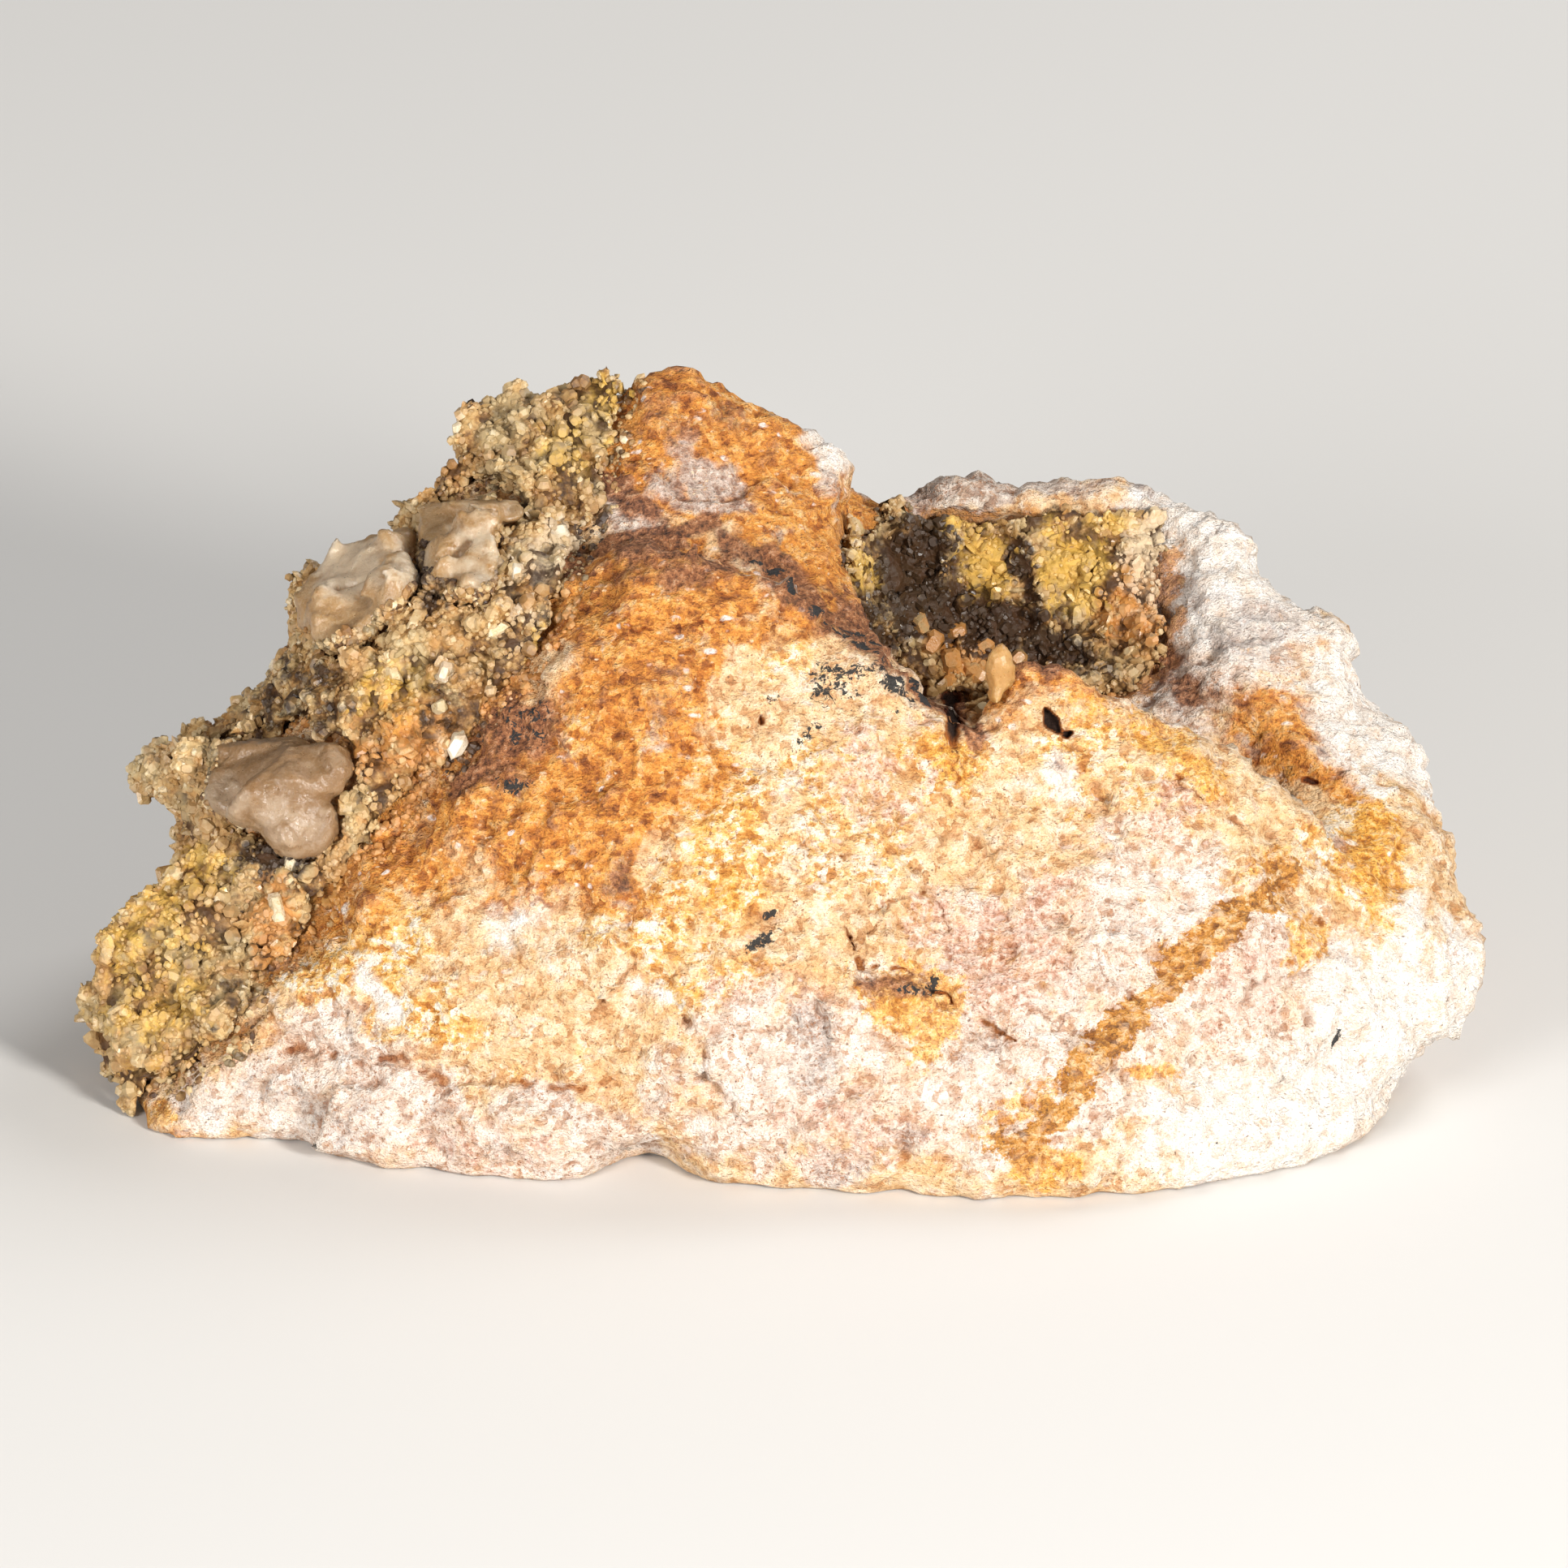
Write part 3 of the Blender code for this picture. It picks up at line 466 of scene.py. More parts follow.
# Pits: across, up, half width, half height, turn, depth.
PITS = [(9.6, 27.7, 0.45, 1.7, 6, 0.68), (15.3, 27.4, 0.35, 0.8, 25, 1), (16, 26.6, 0.2, 0.4, 10, 1),
        (-1.3, 27.4, 0.25, 0.2, 0, 0.5), (30, 24, 0.35, 0.25, 0, 0.6)]
CREST_BACK = 8.0  # mm: the crests lie nearer the front than this
CRESTS = [  # half width, height, points: the sharp front edges of the top
    (1.2, 0.9, [(-11.0, 37.0), (-6.3, 38.0), (-2.0, 36.2), (1.6, 34.2), (6.4, 30.2), (9.0, 26.6)]),
    (1.2, 0.8, [(10.4, 27.0), (12.4, 30.2), (15.0, 31.0), (20.6, 27.8), (27.0, 24.4), (31.0, 20.6)]),
]
# Where the outline is pushed out or in: across, up, radius, height.
ROCK_SWELLS = [(26.2, 37.9, 1.8, 0.9), (27.4, 33.9, 1.3, -0.9), (31.3, 31.9, 1.6, 0.5),
               (33.2, 28.4, 1.6, -0.5), (36.3, 9.6, 1.5, -1.2), (38.9, 11.6, 1.3, 0.7),
               (39.8, 14.6, 2, 0.7), (36.4, 6.4, 2.4, -0.9), (30.5, 2, 2.4, -0.5), (5.6, 41, 1.3, -0.6),
               (11, 41.2, 2, 0.4), (19.6, 41, 1.6, 0.6), (-4.9, 47.4, 1.6, 0.5), (2, 44.4, 1.6, 0.4),
               (37.4, 22.6, 1.8, -0.3)]
FLANK_SWELLS = [(-36, 25.4, 2.6, 2.6), (-34, 26.4, 2, 1), (-31.4, 26.6, 1.2, -0.5),
                (-18.8, 46, 2.2, 1.1), (-15.4, 47, 1.8, 0.4), (-20.4, 42.8, 1.1, -0.7),
                (-22.2, 41.6, 1.6, 1), (-24.2, 38.4, 1.2, -0.6), (-27.6, 37, 2.2, 1.1),
                (-30.2, 29.4, 1.8, 0.6), (-36.4, 20.8, 1.5, -0.4), (-40, 13, 3, 0.4),
                (-10.4, 48.2, 1.3, 0.3), (-11.8, 46.2, 1, -0.6)]
FOOT_WAVE = 0.9  # mm: how uneven the foot of the front is
FOOT_BAND = (0.5, 4.0)  # mm: the height over which that ends
WAVE_SIZE, WAVE_SEED = 4.0, 61
WAVE_STRETCH = (1.0, 1.0, 0.3)  # it runs up and down
BASE_BAND = (0.15, 1.2)  # mm: the flat base keeps its place; the relief fades in above it
HIDDEN_SIDE = (-0.35, 0.05)  # how far a face turns from the front where the spots end
# Relief of the rock: height and size in mm, and seed.
CHIPS = ((0.55, 5.4, 1), (0.32, 2.2, 2), (0.16, 0.95, 5))
SWELLING = (0.24, 3.0, 4)
FLAKES = (0.45, 1.5, 3)
FLAKE_MIDDLE = 0.3
NEAR_CUT = 0.5  # mm: the mesh is finer this near a crack or pit
CUT_SIDE = 0.2  # on faces whose normal runs back by less than this
STAND_ROUNDS = 8  # smoothing that the rock's dips and crests are measured from
DEEPEST = 0.7  # mm: a cut this deep is darkest in its painted shade
CRACK_NOISE = (1.3, 25, 2)  # size in mm, seed and octaves of the noise
CRACK_GAPS = (-0.35, 0.15)  # between these values of it a crack closes
CRACK_SIDES = (0.4, 2.4)  # half widths of a crack: its floor, and where its sides end
BENDS = ((2.2, 0.5, 21), (0.9, 0.35, 23))  # how lines wander: size and amount in mm, seed
STAIN_BENDS = ((5.0, 1.3, 31), (1.6, 0.7, 33))
VEIN_BENDS = ((2.5, 0.9, 35), (1.0, 0.4, 37))
VEIN_SIDES = (0.5, 1.6)  # in half widths
VEIN_NOISE, VEIN_RANGE = (3.0, 39, 2), 0.7  # how its width varies
# The hidden sides take the same pigments in drifts: share, size in mm.
HIDDEN_STAINS = {"chalk": (0.55, 9.0), "white": (0.15, 8.0), "pink": (0.2, 4.0), "grey": (0.3, 6.0),
                 "amber": (0.3, 6.0), "rust": (0.35, 9.0), "ochre": (0.1, 5.0), "dark": (0.1, 6.0),
                 "black": (-0.1, 3.0)}
HIDDEN_RANGE, HIDDEN_MOST = 0.8, 0.8  # how much a drift varies, and its strongest cover
HIDDEN_SEED = 41

# Pigments of the rock: colour ramps, as (place, colour).
PIGMENTS = {
    "cream": [(0.30, (0.66, 0.38, 0.17)), (0.42, (0.80, 0.54, 0.29)),
              (0.54, (0.87, 0.645, 0.40)), (0.68, (0.93, 0.80, 0.62))],
    "chalk": [(0.30, (0.60, 0.44, 0.35)), (0.42, (0.78, 0.63, 0.52)),
              (0.54, (0.87, 0.76, 0.67)), (0.68, (0.94, 0.88, 0.82))],
    "clouds": [(0.35, (0.66, 0.34, 0.12)), (0.65, (0.86, 0.58, 0.28))],
    "amber": [(0.28, (0.56, 0.23, 0.035)), (0.42, (0.84, 0.42, 0.08)),
              (0.53, (0.90, 0.60, 0.23)), (0.64, (0.96, 0.88, 0.74))],
    "rust": [(0.22, (0.20, 0.06, 0.018)), (0.36, (0.46, 0.16, 0.03)), (0.50, (0.70, 0.27, 0.040)),
             (0.62, (0.80, 0.38, 0.080)), (0.80, (0.88, 0.57, 0.25))],
    "white": [(0.3, (0.78, 0.64, 0.52)), (0.46, (0.89, 0.82, 0.74)), (0.6, (0.95, 0.92, 0.88))],
    "pink": [(0.34, (0.50, 0.23, 0.14)), (0.5, (0.78, 0.50, 0.39)), (0.62, (0.86, 0.72, 0.62))],
    "grey": [(0.3, (0.34, 0.29, 0.28)), (0.5, (0.56, 0.48, 0.43)), (0.72, (0.85, 0.80, 0.76))],
    "ochre": [(0.34, (0.58, 0.24, 0.035)), (0.52, (0.88, 0.45, 0.07)), (0.68, (0.95, 0.68, 0.30))],
    "vein": [(0.36, (0.28, 0.14, 0.055)), (0.50, (0.60, 0.27, 0.050)), (0.66, (0.78, 0.52, 0.25))],
    "loam": [(0.3, (0.12, 0.045, 0.018)), (0.42, (0.36, 0.13, 0.03)),
             (0.56, (0.58, 0.24, 0.05)), (0.75, (0.74, 0.46, 0.20))],
    "dark": [(0.32, (0.06, 0.028, 0.020)), (0.46, (0.22, 0.085, 0.040)),
             (0.58, (0.42, 0.18, 0.08)), (0.72, (0.60, 0.36, 0.22))],
    "grit": [(0.3, (0.4, 0.33, 0.28)), (0.7, (1, 1, 1))],
}
# Marks on the rock, and those of them that are multiplied with what is there.
# Dip, recess, crack and gap are painted shade, crest, grain top and glints painted highlight, dendrite
# partly painted shadow.
MARKS = {
    "dip": (0.55, 0.34, 0.22), "crest": (0.95, 0.83, 0.68), "recess": (0.62, 0.44, 0.33),
    "grain top": (0.95, 0.84, 0.70), "speckle": (0.42, 0.17, 0.06), "dots": (0.16, 0.075, 0.045),
    "flecks": (0.92, 0.80, 0.74), "glints": (0.94, 0.74, 0.50), "pepper": (0.40, 0.17, 0.07),
    "flakes": (0.97, 0.90, 0.80), "web": (0.28, 0.12, 0.055), "pores": (0.13, 0.065, 0.045),
    "dendrite_and_shadow": (0.028, 0.032, 0.034), "crack": (0.50, 0.26, 0.12), "gap": (0.03, 0.015, 0.01),
}
DARKENING = ("dip", "recess", "crack")


def front_share(face_normals):
    """1 where a surface faces the front, 0 on the hidden sides."""
    return smoothstep(-face_normals[:, 2], *HIDDEN_SIDE)


def wander(points, *bends):
    """Sideways shifts across and up, in mm, for bends of (size, amount, seed)."""
    return sum(amount * np.stack([lumps(points, size, seed), lumps(points, size, seed + 1)], 1)
               for size, amount, seed in bends)


def build_rock():
    rock = fine_copy("matrix", "matrix_rock", ROCK_VOXEL, 3)
    swell(rock, ROCK_SWELLS, FOOT_WAVE)
    points = coords(rock)
    lift = smoothstep(points[:, 2] / MM, *BASE_BAND)
    relief = sum(height * chips(points, size, seed) for height, size, seed in CHIPS)
    height, size, seed = SWELLING
    relief += height * lumps(points, size, seed, 3)
    height, size, seed = FLAKES
    relief -= height * (np.abs(lumps(points, size, seed, 3)) - FLAKE_MIDDLE)
    face = to_face(points)
    bend = wander(points, BENDS[0])
    for half, height, line in CRESTS:
        gap = line_distance(face, line, bend)
        relief += height * np.clip(1.0 - gap / half, 0.0, 1.0) * (face[:, 2] < CREST_BACK)
    move(rock, normals(rock) * (relief * lift)[:, None])

    face = to_face(coords(rock))
    near = np.full(len(face), np.inf)
    for half, _, line in CRACKS:
        near = np.minimum(near, line_distance(face, line, bend) - half)
    for across, up, half_width, half_height, _, _ in PITS:
        reach = np.hypot(face[:, 0] - across, face[:, 1] - up) - max(half_width, half_height)
        near = np.minimum(near, reach)
    refine(rock, (near < NEAR_CUT) & (to_face_normals(rock)[:, 2] < CUT_SIDE), 2)
    carve(rock)
    shade(rock, True)
    stain(rock)
    store(rock, "proud", proudness(rock, STAND_ROUNDS))
    return rock


def to_face_normals(piece):
    return normals(piece) @ FACE_AXES.T


def swell(piece, spots, wave=0.0):
    """Pushes the outline out or in, square to the view from the front, at spots of the face.
    A wave makes the foot of the front uneven too."""
    points = coords(piece)
    face, ways = to_face(points), to_face_normals(piece)
    height = np.zeros(len(face))
    for across, up, radius, amount in spots:
        gap = np.hypot(face[:, 0] - across, face[:, 1] - up) / radius
        height += amount * np.exp(-gap * gap)
    sideways = ways[:, :1] * FACE_AXES[0] + ways[:, 1:2] * FACE_AXES[1]
    offsets = sideways * height[:, None]
    offsets[:, 2] *= smoothstep(points[:, 2] / MM, *BASE_BAND)
    if wave:
        low = 1.0 - smoothstep(points[:, 2] / MM, *FOOT_BAND)
        offsets[:, 1] += wave * low * lumps(points * WAVE_STRETCH, WAVE_SIZE, WAVE_SEED, 3)
    move(piece, offsets)


def carve(rock):
    """Cuts the cracks and the pits into the front."""
    points = coords(rock)
    face = to_face(points)
    front = front_share(to_face_normals(rock))
    bend = wander(points, *BENDS)
    depth = np.zeros(len(face))
    open_share = smoothstep(lumps(points, *CRACK_NOISE), *CRACK_GAPS)
    for half, deep, line in CRACKS:
        gap = line_distance(face, line, bend) / half
        depth = np.maximum(depth, deep * open_share * (1.0 - smoothstep(gap, *CRACK_SIDES)))
    for across, up, half_width, half_height, turn, deep in PITS:
        spot = [(across, up, half_width, half_height, turn, 1.0)]
        depth = np.maximum(depth, deep * patches(face, spot, bend * 0.7, 0.8))
    into = FACE_AXES[2]
    move(rock, into[None, :] * (depth * front)[:, None])
    store(rock, "cut", np.clip(depth / DEEPEST, 0.0, 1.0) * front)


def stain(rock):
    """Stores how strongly each pigment covers each point."""
    points = coords(rock)
    face = to_face(points)
    front = front_share(to_face_normals(rock))
    bend = wander(points, *STAIN_BENDS)
    for i, (name, (share, size)) in enumerate(HIDDEN_STAINS.items()):
        drift = share + HIDDEN_RANGE * lumps(points, size, HIDDEN_SEED + i, 3)
        seen = patches(face, STAINS[name], bend)
        store(rock, name, seen * front + np.clip(drift, 0.0, HIDDEN_MOST) * (1.0 - front))
    vein = line_distance(face, VEIN, wander(points, *VEIN_BENDS))
    vein /= VEIN_HALF * (1.0 + VEIN_RANGE * lumps(points, *VEIN_NOISE))
    store(rock, "vein", front * (1.0 - smoothstep(vein, *VEIN_SIDES)))


def rock_finish():
    look = Finish("rock")
    drift, middle = look.noise(3.2, 6.0, 0.66, 0.2), look.noise(1.3, 5.0, 0.66, 0.15)
    fine, grit = look.noise(0.42, 3.0, 0.68), look.noise(0.13, 2.0, 0.6)
    grain = look.noise(0.28, 5.0, 0.78)
    fibre = look.noise(0.62, 4.0, 0.72, place=look.stretched((20, 0, 35), (0.6, 1.0, 1.2)))
    shards = look.stretched((10, 30, -38), (0.5, 1.25, 1.0))
    long_flakes = look.stretched((-20, 10, 52), (0.45, 1.3, 1.0))
    flake = look.cells(0.55, place=look.bent(0.5, 0.5), output="Color")
    shard = (flake - 0.5) * 0.16
    middle, fibre = middle + shard, fibre + shard
    broad = (drift - 0.5) * 0.5
    mixed = fibre + (middle - 0.5) * 0.6 + broad
    height = fine * 0.7 + fibre * 0.8 + flake * 0.35
    stand, cut = look.attribute("proud"), look.attribute("cut")
    masks = {}

    def cover(name, value, pattern, width, most=1.0):
        """Lays a pigment where its stored mask is."""
        masks[name] = look.edge(look.attribute(name), pattern, width)
        look.lay(masks[name] * most, look.ramp(value, PIGMENTS[name]))

    def mark(name, share):
        look.lay(share, MARKS[name], "MULTIPLY" if name in DARKENING else "MIX")

    look.colour = look.ramp(middle + broad, PIGMENTS["cream"])
    cover("chalk", middle, drift, 0.2)
    clouds = look.step(look.noise(4.2, 5.0, 0.66), 0.50, 0.60) * 0.40
    look.lay(clouds, look.ramp(fine, PIGMENTS["clouds"]))
    cover("amber", mixed, drift, 0.25, 0.92)
    cover("rust", mixed, drift, 0.22, 0.96)
    cover("white", middle, drift, 0.3)
    cover("pink", fine, middle, 0.2, 0.8)
    cover("grey", fine, drift, 0.25, 0.85)
    cover("ochre", fine, look.noise(0.8, 4.0, 0.72), 0.2, 0.85)
    cover("vein", fibre, fine, 0.14)

    calm = 1.0 - masks["white"] * 0.7  # the marks are weaker on the white clay
    pale = 0.35 - masks["rust"] * 0.25  # and the painted highlight on the tops is weaker on the rust
    # Painted light and shade from the relief: dip and recess darken where the surface sinks, crest and
    # grain top lighten where it stands highest.
    mark("dip", look.step(stand, -0.03, -0.20) * 0.55 * calm)
    mark("crest", look.step(stand, 0.05, 0.22) * pale)
    mark("recess", look.below(height, 0.66, 0.94) * 0.75 * calm)
    mark("grain top", look.step(height, 1.02, 1.25) * pale)
    speckle = look.step(grain, 0.54, 0.62) * look.step(drift, 0.40, 0.58)
    mark("speckle", speckle * 0.8 * calm)
    mark("dots", look.step(grain, 0.61, 0.66) * look.step(middle, 0.42, 0.58) * 0.85)
    flecks = look.below(look.cells(1.0, place=shards), 0.14, 0.24) * look.step(look.noise(2.0), 0.50, 0.58)
    flecks = flecks * look.math("ADD", masks["rust"], 0.45, clamp=True)
    mark("flecks", flecks * 0.9)
    # Painted highlights: small bright glints laid on the rust.
    glints = look.below(look.cells(0.55, place=shards), 0.10, 0.20) * look.step(middle, 0.44, 0.56)
    mark("glints", glints * masks["rust"] * 0.7)
    pepper = look.step(look.noise(0.2, 3.0, 0.6), 0.60, 0.66) * look.step(look.noise(2.2, 4.0), 0.46, 0.58)
    mark("pepper", pepper * 0.8 * calm)
    flakes = look.below(look.cells(1.9, place=long_flakes), 0.16, 0.24)
    flakes = flakes * look.step(look.noise(1.6), 0.50, 0.58) * masks["amber"]
    mark("flakes", flakes * 0.8)

    contact = look.attribute("contact") * look.step(look.noise(6.0), 0.34, 0.60)
    contact = look.edge(contact, look.noise(1.0, 5.0, 0.65), 0.25)
    look.lay(contact * 0.85, look.ramp(look.noise(0.5, 4.0, 0.65), PIGMENTS["loam"]))
    # The dark pigment is partly painted shade, along the crests and in the hollow.
    cover("dark", fine, drift, 0.25, 0.95)
    web = look.below(look.cells(3.6, "DISTANCE_TO_EDGE", look.bent(1.4, 2.6)), 0.0, 0.018)
    mark("web", web * look.step(drift, 0.52, 0.64) * 0.5)
    pores = look.below(look.cells(0.62, place=look.bent(0.5, 0.35)), 0.08, 0.17)
    mark("pores", pores * look.step(look.noise(1.7), 0.52, 0.62) * 0.75)
    # Near-black marks: dendrites, and painted shadow lines along the crests.
    dendrite_and_shadow = look.edge(look.attribute("black"), look.noise(0.45, 5.0, 0.7, 0.8), 0.03)
    mark("dendrite_and_shadow", dendrite_and_shadow * 0.97)
    # Painted shade: cracks and pits darken with their depth, the deepest nearly black.
    mark("crack", look.step(cut, 0.05, 0.5))
    mark("gap", look.step(cut, 0.5, 1.0))
    look.lay(0.35, look.ramp(grit, PIGMENTS["grit"]), "MULTIPLY")

    normal = look.bump(grit, 0.5, 0.14, look.bump(height, 1.0, 0.48))
    rough = look.math("SUBTRACT", fine * 0.35 + 0.70, flecks * 0.4, clamp=True)
    return look.finish(rough, normal, Specular_IOR_Level=0.3)


# ---- crusts and crystals

SHADOW = 1.2  # mm: rock nearer than this in front of a surface hides it
SUNK = 0.3  # mm: a surface deeper than this in the rock is hidden
SIGHT_START = -40.0  # mm: lines of sight start this far before the face
TO_VIEWER = 0.6  # how far a single crystal's direction is turned to the viewer
HIDDEN_SIDE_SHADE = 0.5  # how strongly brown, as painted shade, covers the crusts' hidden sides
# A crust's ground: height in mm, distance in cells where a knob ends, size in mm, step of the seed.
KNOBS = ((1.4, 0.5, 4.0, 3), (1.3, 0.42, 1.8, 0))
SKIN_SINK = 0.35  # mm
SKIN_ROUGH = (0.15, 0.7, 2)  # height and size in mm, step of the seed
SKIN_BAND = (0.1, 1.2)  # mm above the base, where the knobs begin
SKIN_ROUNDS = 12  # smoothing that the knobs are measured from
# Grains. Random values are drawn as: least, range and bias.
HOLLOW_SHARE = 0.5  # how many grow between the knobs, against on them
SMALL_BIAS = 2.2
STRETCH = (0.7, 0.6)  # second width, in first ones
GRAIN_TONE, KNOB_LIGHT_AND_SHADE = (0.14, 0.34), 0.40  # from dark to pale: at random, and paler on the knobs, darker between them, as painted light and shade
FLAT = 0.5  # grains thinner than this stand on edge
LOOSE_SIZE = (0.24, 0.55, 2.5)  # mm
LOOSE_TONE = (0.05, 0.85, 1.3)
LOOSE_THICKNESS, LOOSE_LEAN = 0.8, 0.6
LOOSE_FOOT = 1.2  # mm above the floor with no loose grains
EDGE_SHARE = 1.1  # how many loose grains grow right beside a crust


def surface_samples(piece, count, seed):
    """Random points on a piece, evenly by area, with the faces' normals and a corner of each face."""
    mesh = piece.data
    mesh.calc_loop_triangles()
    corners = np.empty(len(mesh.loop_triangles) * 3, int)
    mesh.loop_triangles.foreach_get("vertices", corners)
    places = coords(piece)[corners].reshape(-1, 3, 3)
    cross = np.cross(places[:, 1] - places[:, 0], places[:, 2] - places[:, 0])
    area = np.linalg.norm(cross, axis=1)
    rng = np.random.default_rng(seed)
    chosen = rng.choice(len(area), count, p=area / area.sum())
    u, w = rng.random(count), rng.random(count)
    fold = u + w > 1.0
    u[fold], w[fold] = 1.0 - u[fold], 1.0 - w[fold]
    base = places[chosen]
    points = base[:, 0] + u[:, None] * (base[:, 1] - base[:, 0]) + w[:, None] * (base[:, 2] - base[:, 0])
    return points, cross[chosen] / area[chosen][:, None], corners.reshape(-1, 3)[chosen, 0]


def outer_side(points, directions, core):
    """Which points of a crust are neither in the rock nor close before it."""
    keep = []
    for point, direction in zip(points, directions):
        place, out, _, _ = core.find_nearest(Vector(point))
        sunk = (Vector(point) - place).dot(out) < -SUNK * MM
        keep.append(not sunk and core.ray_cast(Vector(point), Vector(direction), SHADOW * MM)[0] is None)
    return np.array(keep, bool)


def tablet_shape(bevel=0.3, rim=0.55):
    """A square tablet with cut corners and bevelled edges: 8 points round the middle, 8 on each face."""
    ring = [(1, bevel - 1), (1, 1 - bevel), (1 - bevel, 1), (bevel - 1, 1),
            (-1, 1 - bevel), (-1, bevel - 1), (bevel - 1, -1), (1 - bevel, -1)]
    points = [(x, y, 0.0) for x, y in ring]
    points += [(x * rim, y * rim, side) for side in (1.0, -1.0) for x, y in ring]
    faces = [tuple(range(8, 16)), tuple(range(23, 15, -1))]
    for i in range(8):
        j = (i + 1) % 8
        faces += [(i, j, 8 + j, 8 + i), (j, i, 16 + i, 16 + j)]
    return np.array(points, float), faces


def grain_shape(seed, detail=2):
    """A rounded grain: a ball of 12, 42 or 162 points, pressed in and out a little."""
    build = bmesh.new()
    bmesh.ops.create_icosphere(build, subdivisions=detail, radius=1.0)
    points = np.array([v.co for v in build.verts])
    faces = [tuple(v.index for v in f.verts) for f in build.faces]
    build.free()
    return points * (1.0 + 0.2 * lumps(points * MM, 0.9, seed)[:, None]), faces


def spins(directions, tilt, rng):
    """A turn for each direction: its third axis points along the direction, tilted at random."""
    third = directions + tilt * rng.standard_normal(directions.shape)
    third /= np.linalg.norm(third, axis=1)[:, None]
    first = np.cross(third, rng.standard_normal(third.shape))
    first /= np.linalg.norm(first, axis=1)[:, None]
    return np.stack([first, np.cross(third, first), third], 2)


def grow(name, shape, places, turns, sizes, tones, smooth):
    """One mesh of many copies of a shape: places in metres, sizes in mm as three columns."""
    vertices, polygons = shape
    body = vertices[None, :, :] * sizes[:, None, :] * MM
    world = np.einsum("nij,nkj->nki", turns, body) + places[:, None, :]
    faces = [tuple(i * len(vertices) + k for k in polygon)
             for i in range(len(places)) for polygon in polygons]
    mesh = bpy.data.meshes.new(name)
    mesh.from_pydata(world.reshape(-1, 3).tolist(), [], faces)
    piece = new_piece(name, mesh)
    store(piece, "tone", np.repeat(tones, len(vertices)))
    shade(piece, smooth)
    return piece


FLANK_SPOTS = {
    "yellow": [(-22, 29, 3, 2.4, 0, 0.6), (-12.6, 31, 1.6, 2.4, -30, 1), (-36, 14, 4, 7, 0, 0.5),
        (-9.5, 46, 2.5, 1.5, 0, 0.7), (-12, 43, 2.4, 2, 0, 0.5), (-33, 19, 2, 1.5, 0, 0.7)],
    "brown": [(-19.5, 28.4, 2.6, 3, 0, 0.5), (-27.6, 28.6, 3.5, 3.4, 0, 0.55), (-29, 19.4, 2.4, 1, 0, 1),
        (-20, 36.5, 1.4, 3, -10, 0.75), (-16.5, 24.5, 3.2, 1.6, 20, 0.75), (-11, 33, 1.2, 2.5, 0, 0.7),
        (-31, 12, 2, 3, 0, 0.4), (-9, 39, 4, 1.2, -30, 0.6)],
    "orange": [(-20.5, 26.6, 3.4, 2.6, 0, 0.8), (-10.6, 31.4, 1.6, 1.8, 0, 0.9),
        (-24, 25.4, 4, 1.4, 0, 0.6), (-27, 22, 3, 1.2, 0, 0.5), (-13, 29, 2, 1.5, 0, 0.5),
        (-29, 15, 1.6, 4, 0, 0.7)],
    "pale": [(-13, 37, 2.6, 2, 0, 0.7), (-14.6, 34.5, 2, 3, 0, 0.4), (-18, 25.6, 1.4, 1, 0, 0.8),
        (-28.6, 20, 1, 2, 0, 0.4)],
}
CONTACT_REACH = 1.7  # mm from the crust to the last loose grain on the rock
COLLAR_REACH = 1.1  # mm that the crust's grains climb up a cluster
RIM_START, RIM_FOOT = (0.0, 3.0), (38.8, 40.2)  # the hollow's rim: across from, and up from, in mm
CONTACT_SPOTS = {
    "yellow": [(-11, 31.6, 1.6, 1.6, 0, 0.8), (-27, 18, 3, 3, 0, 0.6)],
    # brown: in the hollow, partly painted shadow of its depth
    "brown": [(-17, 25.5, 3.4, 2.6, 0, 0.7), (-10, 37.5, 5, 1.6, -20, 0.9), (6, 34, 6, 6, 0, 0.8)],
    "orange": [(-20, 25, 14, 14, 0, 0.95), (10, 32, 14, 8, 0, 0.8)],
    "pale": [(-29, 17, 2, 2, 0, 0.6)],
}
SINGLE_CRYSTALS = [(-14.7, 30.5, 2.3, 0.9, 0.9, 52, 0.75), (-13.3, 30.2, 1.8, 1.3, 1, 80, 0.9),
                   (-18.6, 26.1, 1.7, 1.5, 0.9, 20, 1), (-19.3, 30.2, 1.2, 0.7, 0.7, 70, 1.1),
                   (-15.2, 35.8, 1.2, 0.7, 0.6, 85, 1.1), (-14.9, 34, 2, 0.7, 0.6, 88, 1),
                   (-12.9, 38.2, 1.3, 0.9, 0.6, 20, 1), (-13.6, 37.2, 0.9, 0.7, 0.5, 60, 0.95),
                   (-10.9, 30.7, 0.7, 0.6, 0.5, 10, 1.1), (-29.1, 30.6, 1, 0.8, 0.6, 40, 1.1),
                   (-28.1, 19.2, 2.2, 0.8, 0.6, 70, 0.95), (-28.9, 16.8, 1.8, 0.8, 0.6, 100, 0.9),
                   (-16.3, 32.6, 1.3, 0.8, 0.8, 30, 0.8), (-19.6, 28.2, 1.1, 0.8, 0.7, 10, 0.85),
                   (-20.9, 33.2, 1.6, 0.8, 0.7, 75, 0.7), (-22.2, 30, 1.4, 0.8, 0.7, 110, 0.75)]
NOTCH_LUMPS = [(8.5, 31.9, 1.5, 1.1, 1, 60, 0.4), (9.6, 30.9, 1.4, 1.1, 1, 100, 0.5),
               (11, 30.1, 1.6, 1, 1, 80, 0.6), (10.6, 28.8, 1.3, 0.9, 0.9, 70, 0.6),
               (11.5, 31.7, 1.3, 1, 0.9, 30, 0.45), (7.8, 33, 1.4, 1, 0.9, 120, 0.35),
               (9.4, 29.7, 1.1, 0.8, 0.8, 60, 0.5), (12.3, 28.8, 1.3, 1, 0.9, 70, 0.65),
               (9.9, 32.6, 1.2, 0.9, 0.8, 10, 0.35), (13.4, 31, 1.1, 0.9, 0.8, 45, 0.45)]
